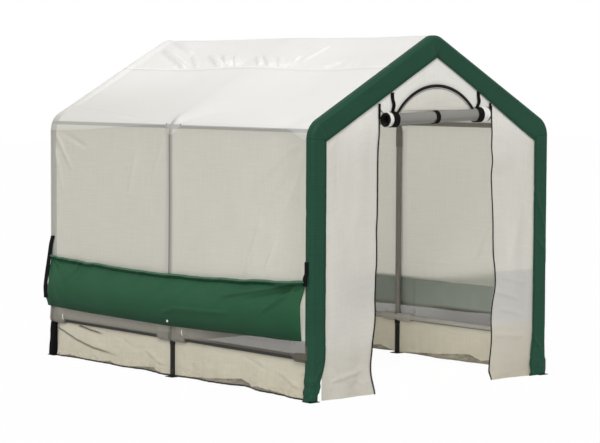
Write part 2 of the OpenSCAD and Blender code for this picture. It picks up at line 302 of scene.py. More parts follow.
ahead = Vector((math.sin(YAW) * math.cos(PITCH), math.cos(YAW) * math.cos(PITCH), -math.sin(PITCH)))
level = Vector((math.cos(YAW), -math.sin(YAW), 0))
upright = level.cross(ahead)
across = level * math.cos(ROLL_A) + upright * math.sin(ROLL_A)
upward = upright * math.cos(ROLL_A) - level * math.sin(ROLL_A)
camera = linked(bpy.data.objects.new("camera", bpy.data.cameras.new("camera")))
camera.data.sensor_fit = "HORIZONTAL"
camera.data.sensor_width = SENSOR_MM
camera.data.lens = SENSOR_MM * FOCAL_PX / WIDTH_PX
camera.data.clip_end = 200
camera.matrix_world = Matrix.Translation(CAMERA_AT) @ Matrix((across, upward, -ahead)).transposed().to_4x4()
bpy.context.scene.camera = camera
bpy.context.scene.view_settings.view_transform = "Standard"

# Finishes


class Term:
    """A number from a shader node, used in Python arithmetic."""

    def __init__(self, owner, socket):
        self.owner = owner
        self.socket = socket

    def math(self, operation, *others):
        return self.owner.math(operation, self, *others)

    def __add__(self, other):
        return self.math("ADD", other)

    def __sub__(self, other):
        return self.math("SUBTRACT", other)

    def __rsub__(self, other):
        return self.owner.math("SUBTRACT", other, self)

    def __mul__(self, other):
        return self.math("MULTIPLY", other)

    def __truediv__(self, other):
        return self.math("DIVIDE", other)

    def __abs__(self):
        return self.math("ABSOLUTE")

    __radd__ = __add__
    __rmul__ = __mul__


class Tree:
    """A tree of nodes; node() makes any of them, its settings first and then its sockets."""

    def __init__(self, tree):
        self.tree = tree
        tree.nodes.clear()

    def node(self, kind, settings=None, sockets=None):
        made = self.tree.nodes.new(kind)
        for key, value in (settings or {}).items():
            setattr(made, key, value)
        for key, value in (sockets or {}).items():
            value = value.socket if isinstance(value, Term) else value
            if isinstance(value, bpy.types.NodeSocket):
                self.tree.links.new(value, made.inputs[key])
            else:
                made.inputs[key].default_value = value
        return made

    def term(self, kind, settings=None, sockets=None, output=0):
        return Term(self, self.node(kind, settings, sockets).outputs[output])

    def math(self, operation, *values):
        return self.term("ShaderNodeMath", {"operation": operation}, dict(enumerate(values)))

    def either(self, factor, first, second):
        """A shader between two shaders."""
        return self.node("ShaderNodeMixShader", None, {0: factor, 1: first, 2: second}).outputs[0]


class Finish(Tree):
    """One material."""

    def __init__(self, name):
        self.material = bpy.data.materials.new(name)
        self.material.use_nodes = True
        super().__init__(self.material.node_tree)
        place = self.node("ShaderNodeTexCoord")
        self.object = place.outputs["Object"]
        self.uv = place.outputs["UV"]

    def parts(self, vector):
        made = self.node("ShaderNodeSeparateXYZ", None, {0: vector})
        return [Term(self, made.outputs[i]) for i in range(3)]

    def ease(self, value, low, high, start=0.0, end=1.0):
        sockets = {"Value": value, "From Min": low, "From Max": high, "To Min": start, "To Max": end}
        return self.term("ShaderNodeMapRange", {"interpolation_type": "SMOOTHSTEP"}, sockets)

    def noise(self, vector, scale, detail=3.0, stretch=(1, 1, 1)):
        turned = self.node("ShaderNodeMapping", None, {"Vector": vector, "Scale": stretch}).outputs[0]
        return self.term("ShaderNodeTexNoise", None, {"Vector": turned, "Scale": scale, "Detail": detail})

    def mix(self, factor, first, second):
        """A colour between two colours."""
        sockets = {0: factor, 6: first, 7: second}
        return self.node("ShaderNodeMix", {"data_type": "RGBA"}, sockets).outputs[2]

    def bump(self, height, strength, distance):
        sockets = {"Height": height, "Strength": strength, "Distance": distance}
        return self.node("ShaderNodeBump", None, sockets).outputs[0]

    def surface(self, sockets):
        return self.node("ShaderNodeBsdfPrincipled", None, sockets).outputs[0]

    def end(self, shader):
        self.node("ShaderNodeOutputMaterial", None, {"Surface": shader})
        return self

    def end_lit(self, skin, share, colour, normal):
        """Ends as a skin that lets a share of the light through."""
        sockets = {"Color": colour, "Normal": normal}
        behind = self.node("ShaderNodeBsdfTranslucent", None, sockets).outputs[0]
        return self.end(self.either(share, skin, behind))


def tone(red, green, blue):
    """A linear colour from display values out of 255."""
    def linear(value):
        c = value / 255
        return c / 12.92 if c <= 0.04045 else ((c + 0.055) / 1.055) ** 2.4
    return (linear(red), linear(green), linear(blue), 1.0)


def scaled(colour, share):
    """A darker or paler colour."""
    return tuple(c * share for c in colour[:3]) + (1,)


def weave(finish, pitch):
    """Height of a plain weave of flat tapes, about -1 to 1, and a mask of its thicker threads."""
    u, v, _ = finish.parts(finish.uv)
    turn = 2 * math.pi
    crossing = (u * (turn / pitch)).math("SINE") * (v * (turn / pitch)).math("SINE")
    along_u = finish.ease(abs((u / (4 * pitch)).math("FRACT") - 0.5), 0.36, 0.47)
    along_v = finish.ease(abs((v / (4 * pitch)).math("FRACT") - 0.5), 0.36, 0.47)
    return crossing, along_u.math("MAXIMUM", along_v)


def slub(finish):
    """Uneven threads of the weave in both directions, 0 to 1."""
    warp = finish.noise(finish.uv, 5.0, 2.0, (26, 1, 1))
    weft = finish.noise(finish.uv, 5.0, 2.0, (1, 26, 1))
    return finish.ease(warp, 0.3, 0.72) * 0.5 + finish.ease(weft, 0.3, 0.72) * 0.5


def painted_steel(name, colour, worn, rough):
    """Powder-coated tube: mottled paint, fine orange peel and thin lengthwise scuffs."""
    f = Finish(name)
    mottle = f.noise(f.object, 9.0)
    scuff = f.ease(f.noise(f.object, 60.0, 5.0, (1, 1, 0.12)), 0.62, 0.74)
    dust = f.ease(f.noise(f.object, 28.0, 6.0), 0.5, 0.8)
    _, _, z = f.parts(f.object)
    soil = f.ease(z, 0.0, 0.12, 0.5, 0.0) * dust
    # Painted shade: below the rail the tubes and the foot plates turn nearly black.
    foot = 1 - f.ease(z, RAIL[2] - 0.03, RAIL[2] + 0.02)
    paint = f.mix(mottle * 0.5, colour, scaled(colour, 1.25))
    chipped = f.mix(scuff * 0.4, paint, worn)
    lower = f.mix(foot, chipped, tone(18, 16, 15))
    dirty = f.mix(soil, lower, tone(120, 108, 90))
    peel = f.noise(f.object, 900.0, 2.0)
    return f.end(f.surface({
        "Base Color": dirty,
        "Roughness": rough + dust * 0.15 - scuff * 0.08,
        "Normal": f.bump(peel, 0.15, 0.0004),
        "Specular IOR Level": 0.25,
    }))


def band(f, distance, half, soft):
    """1 within half of nothing, falling to 0 over the soft width."""
    return f.ease(distance, half, half + soft, 1.0, 0.0)


CORNER_W = 0.070
POLE_SHADE = 0.5


def frame_shade(f, legs):
    """Painted shade where the tubes under the fabric show through it, and a grey band of it at the rear
    corner.
    """
    _, y, z = f.parts(f.object)
    from_pole = abs(z - (EAVE_POLE[2] - 0.004))
    line = band(f, from_pole, 0.008, 0.005) * POLE_SHADE
    coupling = band(f, abs(y - MIDDLE_RIB), 0.07, 0.004) * band(f, from_pole, 0.011, 0.005)
    shade = line.math("MAXIMUM", coupling * POLE_SHADE)
    off = (y - MIDDLE_RIB) / TUBE_R
    # Painted shade of the middle leg, darker on its rear side like a lit tube.
    leg = band(f, abs(off), 0.95, 0.25) * (0.58 + off * 0.32)
    # Painted shade: a grey band over the rear corner of the wall.
    corner = band(f, abs(y - REAR_RIB + CORNER_W / 2 - 0.018), CORNER_W / 2, 0.005) * 0.46
    fade = f.ease(z, EAVE_POLE[2] + 0.005, EAVE_POLE[2] + 0.075, legs, 0.0)
    return shade.math("MAXIMUM", leg.math("MAXIMUM", corner) * fade)


def cover_cloth(name, colour, glow, shadow=None, soil=0.0, tint=None, grain=1.0, folded=None):
    """Woven white sheeting that lets light through; glow is how much.

    shadow says how strongly the legs under it show as painted shade, soil how dirty its foot is, and grain
    how coarse its threads are. tint changes its colour and glow, and folded is the colour of the painted
    shade deep in its folds.
    """
    f = Finish(name)
    crossing, thick = weave(f, 0.003)
    cloud = f.noise(f.object, 3.5, 4.0)
    fibre = f.noise(f.uv, 90.0, 3.0, (1, 6, 1))
    threads = slub(f)
    deep = scaled(colour, 0.76)
    base = f.mix(cloud * 0.25 + fibre * 0.1 + (thick * 0.15 + threads * 0.45) * grain, colour, deep)
    factor = glow
    if tint:
        base, factor = tint(f, base, glow)
    if soil:
        _, _, z = f.parts(f.object)
        dirt = f.ease(z, 0.0, 0.22, 1.0, 0.0) * f.noise(f.object, 14.0, 6.0) * soil
        base = f.mix(dirt, base, tone(150, 132, 98))
    # Painted shade darkens the folds as much as each vertex's fold value says.
    if folded:
        fold = f.term("ShaderNodeAttribute", {"attribute_name": "fold"}, None, "Fac")
        base = f.mix(fold, base, folded)
        factor = (1 - fold * 0.8) * factor
    if shadow:
        shade = frame_shade(f, shadow)
        base = f.mix(shade, base, tone(62, 60, 57))
        factor = (1 - shade) * factor
    normal = f.bump(crossing * 0.5 + (thick + threads * 2) * grain, 0.35, 0.0006)
    skin = f.surface({
        "Base Color": base,
        "Roughness": 0.52 + fibre * 0.18,
        "Normal": normal,
        "Specular IOR Level": 0.3,
        "Sheen Weight": 0.1,
    })
    return f.end_lit(skin, factor, colour, normal)


def eave_tint(f, base, glow):
    """Roof sheeting: painted shade low down at the rear, with the wall's colour and glow below the eave pole.
    """
    _, y, z = f.parts(f.object)
    above = f.ease(z, EAVE_POLE[2] - 0.020, EAVE_POLE[2] - 0.010)
    # Painted shade: greyer low down towards the rear.
    rear_low_shade = f.mix(f.ease(y, -1.2, 1.3) * f.ease(z, 1.50, 1.80, 1.0, 0.0), base, tone(226, 224, 218))
    return f.mix(above, WALL_TONE, rear_low_shade), WALL_GLOW + above * (glow - WALL_GLOW)


def front_tint(f, base, glow):
    """Front sheeting: paler up high as painted light, cool grey as painted shade of the flaps, warmer low
    down.
    """
    x, _, z = f.parts(f.object)
    lit = f.ease(z, 1.25, 1.62)
    pale = f.mix(lit * 0.22, base, tone(252, 251, 248))
    right = f.ease(x, 0.0, 0.1)
    # Painted shade of the flaps that lie behind the front panels, in cool grey.
    flap = f.ease(z, 0.626, 0.640, 0.42, 0.0) * f.ease(z, 0.28, 0.36) * right
    far = f.ease(z, 0.62, 0.72, 0.22, 0.0) * f.ease(z, 0.40, 0.54) * f.ease(x, -0.76, -0.52) * (1 - right)
    flap_shaded = f.mix(flap + far, pale, tone(166, 167, 173))
    warm = f.ease(z, 0.20, 0.34, 0.22, 0.0) + f.ease(z, 0.30, 0.35, 0.42, 0.0) * right
    return f.mix(warm, flap_shaded, tone(186, 174, 152)), glow - lit * 0.25


def roll_tint(f, base, glow):
    """Rolled door: grey screen between the straps, white borders, black zip edges, and painted shade
    blackening the inner turns.
    """
    x, y, z = f.parts(f.object)
    off_y = y - ROLL[1]
    off_z = z - (ROLL[2] - ROLL_TILT * ROLL_HALF) - x * ROLL_TILT
    radius = (off_y * off_y + off_z * off_z).math("SQRT")
    border = f.ease(abs(x), ROLL_HALF - 0.072, ROLL_HALF - 0.066)
    screen = f.mix(border, tone(132, 131, 125), base)
    # Painted shade: the inner turns at the roll's ends are black.
    core_shade = f.ease(radius, ROLL_R - 0.0105, ROLL_R - 0.0080, 1.0, 0.0) * border
    left_edge = f.ease(x, ROLL_LEFT + 0.005, ROLL_LEFT + 0.007, 1.0, 0.0)
    edge = left_edge + f.ease(x, ROLL_HALF - 0.012, ROLL_HALF - 0.010)
    dark = core_shade.math("MAXIMUM", edge)
    return f.mix(dark, screen, tone(16, 15, 16)), (1 - dark) * glow


def green_cloth(name, colour, deep, glow, lit, tint=None):
    """Woven green sheeting, paler on rubbed threads; lit is the light that it lets through."""
    f = Finish(name)
    crossing, thick = weave(f, 0.003)
    cloud = f.noise(f.object, 5.0, 5.0)
    fibre = f.noise(f.uv, 80.0, 4.0, (1, 5, 1))
    base = f.mix(cloud * 0.6 + slub(f) * 0.4, deep, colour)
    rubbed = f.mix(thick * fibre * 0.22, base, tone(80, 122, 94))
    if tint:
        rubbed = tint(f, rubbed)
    normal = f.bump(crossing * 0.5 + thick, 0.4, 0.0005)
    skin = f.surface({
        "Base Color": rubbed,
        "Roughness": 0.42 + fibre * 0.2,
        "Normal": normal,
        "Specular IOR Level": 0.12,
    })
    return f.end_lit(skin, glow, lit, normal)


FLAP_RUN, FLAP_HEM = 0.336, 0.032


def flap_tint(f, base):
    """Flap: painted light on the upper belly, painted shade towards its foot and on the hem, a painted
    highlight on the upper rim.
    """
    _, v, _ = f.parts(f.uv)
    hem = FLAP_RUN - FLAP_HEM
    # Painted light over the upper belly, painted shade near the foot and on the hem, painted highlight along
    # the rim.
    belly = f.ease(v, 0.08, 0.22) * f.ease(v, hem - 0.03, hem - 0.005, 0.16, 0.0)
    paler = f.mix(belly, base, tone(92, 140, 110))
    low = f.mix(f.ease(v, 0.0, 0.10, 0.50, 0.0), paler, tone(22, 48, 34))
    bound = f.mix(f.ease(v, hem - 0.006, hem + 0.002, 0.0, 0.55), low, tone(20, 52, 38))
    return f.mix(f.ease(v, FLAP_RUN - 0.016, FLAP_RUN - 0.011, 0.0, 0.7), bound, tone(104, 148, 120))


HATCH_PITCH, HATCH_LEAN = 0.030, 1.92
NET_PITCH = 0.0032


def insect_screen(name, colour, cover):
    """Fine grey netting: round threads with small open holes between them, and slanting rows of painted
    shade.
    """
    f = Finish(name)
    u, v, _ = f.parts(f.uv)
    thread_u = abs((u / NET_PITCH).math("FRACT") - 0.5)
    thread_v = abs((v / NET_PITCH).math("FRACT") - 0.5)
    nearest = thread_u.math("MAXIMUM", thread_v)
    thread = f.ease(nearest, 0.26, 0.34)
    cloud = f.noise(f.object, 6.0, 4.0)
    x, y, z = f.parts(f.object)
    nearest_rib = abs(y - FRONT_RIB).math("MINIMUM", abs(y - MIDDLE_RIB)).math("MINIMUM", abs(y - REAR_RIB))
    sleeve = band(f, nearest_rib, 0.125, 0.02) * f.ease(z, RAIL[2] + 0.024, RAIL[2] + 0.028, 1.0, 0.0)
    inner = f.ease(abs(x), RAIL[0] - 0.004, RAIL[0] + 0.001, 1.0, 0.0)
    # Painted shade: the underside of the netting's wrap round the rail is black.
    bound = f.ease(z, RAIL[2] + 0.003, RAIL[2] + 0.008, 1.0, 0.0) * (1 - inner)
    bound = bound + f.ease(z, RAIL[2] - 0.013, RAIL[2] - 0.010, 1.0, 0.0) * inner
    rail_underside_shade = bound * (1 - sleeve)
    # Painted light: above the flap's foot, behind the green flap, the netting is paler and greener.
    behind_flap = f.ease(z, FLAP_LOW[2] - 0.02, FLAP_LOW[2] + 0.03)
    tinted = f.mix(behind_flap, colour, SHADED_NET)
    plain = f.mix(cloud * 0.5, tinted, scaled(colour, 0.75))
    low = f.ease(z, FLAP_LOW[2] + 0.01, FLAP_LOW[2] + 0.04, 1.0, 0.0)
    # The slanting rows are painted shade of the netting's wrinkles.
    rows = ((y + x * z * (HATCH_LEAN / RAIL[0])) * (2 * math.pi / HATCH_PITCH)).math("SINE")
    # Painted shade: the low netting darkens towards its front end, where the lamp lights it.
    lit_end = f.ease(y, -0.5, -0.1, 0.8, 0.0) * low * (1 - inner)
    plain = f.mix(lit_end, plain, tone(70, 64, 48))
    hatched = f.mix(f.ease(rows, -0.2, 0.7) * low * 0.62, plain, tone(66, 62, 56))
    # Painted shade of the legs behind the low netting.
    legs = f.mix(band(f, nearest_rib, TUBE_R * 0.9, 0.004) * low * 0.62, hatched, tone(74, 70, 66))
    # Painted light: the inner side of the wrap round the rail is paler.
    wrapped = f.mix(inner * f.ease(z, RAIL[2] + 0.03, RAIL[2] + 0.06, 0.75, 0.0), legs, tone(196, 193, 187))
    return f.end(f.surface({
        "Base Color": f.mix(rail_underside_shade, wrapped, tone(18, 17, 16)),
        "Roughness": 0.6 + cloud * 0.1,
        "Alpha": (cover + (1 - cover) * thread).math("MAXIMUM", rail_underside_shade).math("MAXIMUM", sleeve * 0.7),
        "Normal": f.bump(nearest, 0.4, 0.0006),
    }))


RIB_PITCH, RIB_WAVE = 0.0022, 0.008


def webbing(name, colour):
    """Ribbed strap webbing."""
    f = Finish(name)
    u, v, _ = f.parts(f.uv)
    ribs = (u * (2 * math.pi / RIB_PITCH) + (v * (2 * math.pi / RIB_WAVE)).math("SINE")).math("SINE")
    fuzz = f.noise(f.uv, 300.0, 4.0)
    return f.end(f.surface({
        "Base Color": f.mix(f.ease(ribs * 0.5 + fuzz, 0.5, 1.1), colour, scaled(colour, 1.5)),
        "Roughness": 0.62 + fuzz * 0.2,
        "Normal": f.bump(ribs + fuzz, 0.6, 0.0004),
        "Specular IOR Level": 0.08,
    }))


def moulded(name, colour, rough):
    """Moulded plastic with a fine grain."""
    f = Finish(name)
    grain = f.noise(f.object, 1400.0, 2.0)
    cloud = f.noise(f.object, 30.0, 4.0)
    paler = tuple(min(1.0, c) for c in scaled(colour, 1.3))
    return f.end(f.surface({
        "Base Color": f.mix(cloud * 0.6, colour, paler),
        "Roughness": rough + cloud * 0.15,
        "Normal": f.bump(grain, 0.2, 0.0003),
    }))


WALL_TONE = tone(234, 232, 222)
WALL_GLOW = 0.42
FLAP_LIT = tone(112, 146, 120)
SHADED_NET = tone(166, 176, 168)
ROLL_TILT = 0.034
ROLL_LEFT = -ROLL_HALF + 0.018
tube_paint = painted_steel("tube_paint", tone(132, 129, 122), tone(176, 172, 166), rough=0.42)
fitting_paint = painted_steel("fitting_paint", tone(122, 118, 112), tone(168, 164, 158), rough=0.46)
plate_paint = painted_steel("plate_paint", tone(62, 59, 57), tone(140, 136, 130), rough=0.5)
roof_cloth = cover_cloth("roof_cloth", tone(253, 252, 249), glow=0.13, shadow=0.72, tint=eave_tint,
                         grain=0.25)
wall_cloth = cover_cloth("wall_cloth", WALL_TONE, WALL_GLOW, shadow=0.95)
front_cloth = cover_cloth("front_cloth", tone(237, 235, 228), glow=0.42, soil=0.2, tint=front_tint)
vent_cloth = cover_cloth("vent_cloth", tone(242, 239, 231), glow=0.30)
rear_cloth = cover_cloth("rear_cloth", tone(230, 228, 219), glow=0.42, soil=0.2)
# The skirts' fold colour is painted shade in their creases and tucks.
skirt_cloth = cover_cloth("skirt_cloth", tone(222, 216, 197), glow=0.27, soil=0.35, folded=tone(74, 68, 58))
roll_cloth = cover_cloth("roll_cloth", tone(240, 239, 233), glow=0.06, tint=roll_tint)
# Near-black cloth for the skirts' folded hems: painted shade of the hem fold.
hem_cloth = cover_cloth("hem_cloth", tone(40, 37, 33), glow=0.02)
seam_cloth = cover_cloth("seam_cloth", tone(255, 254, 252), glow=0.05, grain=0.1)
tape_cloth = cover_cloth("tape_cloth", tone(226, 223, 216), glow=0.20)
trim_cloth = green_cloth("trim_cloth", tone(32, 73, 55), tone(23, 60, 45), glow=0.02, lit=tone(60, 100, 78))
flap_cloth = green_cloth("flap_cloth", tone(50, 106, 74), tone(37, 85, 57), glow=0.36, lit=FLAP_LIT,
                         tint=flap_tint)
netting = insect_screen("netting", tone(150, 146, 135), cover=0.55)
strap_web = webbing("strap_web", tone(7, 7, 7))
# Black cuff cloth: painted shade at the feet of the rear legs.
cuff_cloth = webbing("cuff_cloth", tone(9, 9, 9))
zip_black = moulded("zip_black", tone(12, 11, 12), rough=0.55)
zip_tape = webbing("zip_tape", tone(9, 9, 9))
white_plastic = moulded("white_plastic", tone(232, 231, 226), rough=0.35)
white_thread = webbing("white_thread", tone(246, 245, 240))
green_thread = webbing("green_thread", tone(20, 46, 34))
grey_thread = webbing("grey_thread", tone(58, 56, 54))

for node, finish in {
    "front_legs": tube_paint, "middle_legs": tube_paint, "rear_legs": tube_paint,
    "front_rafters": tube_paint, "middle_rafters": tube_paint, "rear_rafters": tube_paint,
    "front_eave_bends": fitting_paint, "middle_eave_bends": fitting_paint, "rear_eave_bends": fitting_paint,
    "ridge_fittings": fitting_paint, "rail_fittings": fitting_paint, "foot_plates": plate_paint,
    "ridge_poles": tube_paint, "left_eave_poles": tube_paint, "right_eave_poles": tube_paint,
    "left_rails": tube_paint, "right_rails": tube_paint,
}.items():
    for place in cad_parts[node].material_slots:
        place.material = finish.material

# Roof and wall cover
# t runs from the ridge (0) over the slope (1 to 2) and the eave (3) to the foot of the wall (4)

WALL_FALL = EAVE_Z - VENT_TOP


def t_at(z):
    """The run t of a height on the wall or leg."""
    return 3 + (EAVE_Z - z) / WALL_FALL


def slant(t):
    """Angle of the outward direction from level."""
    half = math.pi / 2
    return np.where(t < 2, half - ROOF_PITCH * np.clip(t, 0, 1), (half - ROOF_PITCH) * np.clip(3 - t, 0, 1))


def between(t, start, first, last):
    """From the first value to the last as t goes one unit on from start."""
    f = np.clip(t - start, 0, 1)
    return first + (last - first) * f


def rib_axis(t):
    """Distance out and height of the middle of a rib's tube."""
    a = slant(t)
    x = np.where(t < 1, RIDGE_BEND * np.cos(a), between(t, 1, RAFTER_HIGH[0], RAFTER_LOW[0]))
    z = np.where(t < 1, PEAK_Z + RIDGE_BEND * np.sin(a), between(t, 1, RAFTER_HIGH[1], RAFTER_LOW[1]))
    x = np.where(t > 2, EAVE_CX + EAVE_BEND * np.cos(a), x)
    z = np.where(t > 2, EAVE_Z + EAVE_BEND * np.sin(a) - WALL_FALL * np.clip(t - 3, 0, None), z)
    return x, z


def pole_line(t):
    """The cover where only the poles hold it, between ribs."""
    a = slant(t)
    foot_x = EAVE_POLE[0] + (RAIL[0] - EAVE_POLE[0]) * (EAVE_POLE[2] - VENT_TOP) / (EAVE_POLE[2] - RAIL[2])
    x = np.where(t < 2, between(t, 1, 0, EAVE_POLE[0]), between(t, 3, EAVE_POLE[0], foot_x))
    z = np.where(t < 2, between(t, 1, RIDGE_POLE_Z, EAVE_POLE[2]), between(t, 3, EAVE_POLE[2], VENT_TOP))
    return x + WRAPPED_POLE * np.cos(a), z + WRAPPED_POLE * np.sin(a)


def rib_hold(t, y):
    """1 where a rib shapes the cover, 0 where the poles do. The rear corner eases off along the whole bay."""
    eave = ease(t, 1.70, 2.0)
    front_off, middle_off, rear_off = (np.abs(y - rib) for rib in RIB_Y)
    front_hold = 1 - ease(front_off, 0.03, 0.60 - 0.38 * eave)
    middle_hold = 1 - ease(middle_off, 0.01, 0.62 - 0.54 * eave)
    slack = 0.55 * ease(rear_off, 0.016, 0.050) + 0.45 * ease(rear_off, 0.05, 0.50)
    rear_hold = 1 - slack * (1 - eave) - ease(rear_off, 0.02, 1.15) * eave
    return np.maximum(np.maximum(front_hold, middle_hold), rear_hold)


def bay_fraction(y):
    """0 at the ribs and 1 halfway between them."""
    front_bay = np.clip((y - FRONT_RIB) / (MIDDLE_RIB - FRONT_RIB), 0, 1)
    rear_bay = np.clip((y - MIDDLE_RIB) / (REAR_RIB - MIDDLE_RIB), 0, 1)
    return np.sin(np.pi * np.where(y < MIDDLE_RIB, front_bay, rear_bay))


ROOF_RUN = (RAFTER_LOW[0] - RAFTER_HIGH[0]) / COS_P
SEAM_DOWN = 0.097
T_SEAM = 1 + (SEAM_X + SEAM_DOWN * COS_P - RAFTER_HIGH[0]) / (RAFTER_LOW[0] - RAFTER_HIGH[0])

# Folds along the length: gathers above the roof seams as (place, reach, share)
# Creases of the ridge band, the eaves and the walls as (start, end, width, height)
SEAM_GATHERS = (
    (1.14, 0.05, 0.6), (0.76, 0.09, 1.0), (0.20, 0.17, 1.0), (-0.34, 0.14, 0.9), (-0.86, 0.12, 0.5),
)
RIDGE_CREASES = (
    ((1.157, 0.212), (0.605, -0.030), 0.014, 0.027), ((1.154, 0.316), (0.800, 0.165), 0.013, 0.018),
    ((0.772, 0.142), (0.538, -0.001), 0.011, 0.015), ((0.594, 0.147), (0.287, -0.007), 0.014, 0.021),
    ((0.446, 0.145), (0.210, -0.003), 0.014, 0.025), ((0.307, 0.136), (0.131, 0.005), 0.012, 0.022),
    ((0.064, 0.119), (-0.079, 0.012), 0.011, 0.017), ((0.000, 0.130), (-0.188, 0.000), 0.014, 0.022),
    ((-0.137, 0.124), (-0.270, 0.004), 0.011, 0.016), ((-0.307, 0.129), (-0.336, 0.015), 0.010, 0.012),
    ((-0.448, 0.250), (-0.383, 0.068), 0.014, 0.007), ((-0.744, 0.065), (-0.588, -0.011), 0.012, 0.011),
)
RIDGE_FOLD_SHARE = {LEFT: 1.0, RIGHT: 0.4}
EAVE_CREASE = ((1.20, 0.075), (0.06, 0.008), 0.006, 0.005)
WALL_CREASES = (
    ((1.225, 0.00), (1.04, 0.24), 0.012, 0.011), ((1.235, 0.06), (1.13, 0.40), 0.012, 0.009),
    ((1.20, -0.01), (0.86, 0.12), 0.012, -0.008), ((-1.19, 0.05), (-0.84, 0.44), 0.015, 0.013),
    ((-0.84, 0.42), (-0.66, 0.78), 0.018, 0.014), ((-1.17, 0.16), (-0.90, 0.58), 0.013, -0.010),
    ((-1.18, 0.02), (-0.76, 0.30), 0.014, 0.008), ((-0.96, 0.52), (-0.80, 0.84), 0.014, 0.011),
    ((0.36, 0.10), (0.46, 0.40), 0.020, 0.006), ((0.10, 0.06), (0.22, 0.30), 0.016, 0.006),
)


def seam_folds(side, t, y):
    """Gathers and creases of the ridge band above its seam."""
    run = (T_SEAM - t) * ROOF_RUN
    gathered = sum(share * np.exp(-((y - at) / reach) ** 2) for at, reach, share in SEAM_GATHERS)
    lean = rumple(y / 0.35 + 7 * side, 3.3) * 0.8
    ridged = 1 - 2 * np.abs(rumple(y / 0.028 + lean * run / 0.05 + 20 * side, run / 0.25 + 2))
    above = np.exp(-np.clip(run, 0, None) / 0.075) * ease(run, 0.0, 0.014)
    puckers = 0.009 * (0.08 + gathered) * ridged * above
    lines = creases(y, run, RIDGE_CREASES) * ease(run, -0.002, 0.012)
    return (puckers + lines) * ease(t, 0.2, 0.6) * RIDGE_FOLD_SHARE[side]


def eave_folds(t, y):
    """A long taper crease above the eave of the rear bay, and a broken pleat beside the rear rafter."""
    up = (2 - t) * ROOF_RUN
    pleat = np.exp(-((y - REAR_RIB + 0.044) / 0.008) ** 2) * (0.6 + 0.4 * rumple(t * 14, 6.2))
    return (creases(y, up, [EAVE_CREASE]) + 0.008 * pleat * ease(t, 0.9, 1.05)) * (1 - ease(t, 1.97, 2.02))


def wall_folds(side, t, y):
    """Drawn folds from the upper corners of a wall, and slack drape lower down."""
    drop = (t - 3) * WALL_FALL
    drape = 0.0035 * rumple(y / 0.13 + 0.9 * t + 20 * side, t * 1.2) * ease(t, 3.05, 3.5)
    ripples = 0.0012 * rumple(y / 0.05 + 9 * side, drop / 0.016) * ease(drop, 0.45, 0.8) * ease(-y, 0.2, 0.8)
    return (creases(y, drop, WALL_CREASES) + drape + ripples) * ease(t, 2.98, 3.06)


def cover_folds(side, t, y):
    """Slow waves and sag of the cover between its ribs, outward."""
    sag = -0.006 * bay_fraction(y) * np.sin(np.pi * np.clip(t - 1, 0, 1))
    wall_sag = -0.005 * bay_fraction(y) * ease(t, 3.1, 3.6)
    slow = 0.0035 * rumple(y / 0.45 + 3.1 * side, t * 2.2 + 20 * side) * ease(t, 0.1, 0.6)
    return sag + wall_sag + slow * (1 - ease(t, 1.85, 2.1))


WRAP_END = REAR_RIB + 0.0208


def cover_points(side, t, y, lift=0.0):
    """Points of the cover at runs t and places y along the length."""
    t, y = np.broadcast_arrays(t, y)
    past = np.clip(y - REAR_RIB, 0, None)
    off = np.sqrt(np.clip((COVER + lift) ** 2 - past ** 2, 0, None))
    a = slant(t)
    axis_x, axis_z = rib_axis(t)
    pole_x, pole_z = pole_line(t)
    hold = rib_hold(t, y)
    calm = 1 - ease(hold, 0.4, 1.0)
    taut = ease(REAR_RIB - y, 0.0, 0.05)
    out = cover_folds(side, t, y) * (0.15 + 0.85 * calm)
    out = out + (seam_folds(side, t, y) + eave_folds(t, y) + wall_folds(side, t, y)) * taut
    x = hold * (axis_x + off * np.cos(a)) + (1 - hold) * (pole_x + lift * np.cos(a)) + out * np.cos(a)
    z = hold * (axis_z + off * np.sin(a)) + (1 - hold) * (pole_z + lift * np.sin(a)) + out * np.sin(a)
    return stacked(side * x, y, z)


LAP, SEAM_LAP = 0.02, 0.024 / ROOF_RUN
WRAP_START = REAR_RIB - 0.08
EAVE_RUN = 0.13
RIDGE_LIFT = 0.0012
SEAM_W, SEAM_LIFT, SEAM_T = 0.016, 0.0016, 0.0008
SEAM_STITCH_LIFT = SEAM_T + 0.0002
length_steps = steps((SIDE_Y - LAP, MIDDLE_RIB, WRAP_START, 0.011), (WRAP_START, WRAP_END, 0.004))
ridge_steps = steps((SIDE_Y - LAP, REAR_RIB, 0.0055), (REAR_RIB, WRAP_END, 0.004))
ridge_half = steps((0, 0.35, 0.95, 0.05), (0.95, T_SEAM + SEAM_LAP, 0.0095))
roof_t = steps((T_SEAM, 1.88, 0.018), (1.88, 2.0, 0.005), (2.0, 3.0, 0.018))
seam_t = T_SEAM + 0.4 * SEAM_LAP
ridge_left = cover_points(LEFT, ridge_half[::-1][:-1, None], ridge_steps[None, :], RIDGE_LIFT)
ridge_right = cover_points(RIGHT, ridge_half[:, None], ridge_steps[None, :], RIDGE_LIFT)
ridge_cover = fitted(grid_object("ridge_cover_sheet", np.concatenate([ridge_left, ridge_right]), roof_cloth),
                     "roof_fabric", "ridge_cover")
seam_parts, seam_rows = [], []
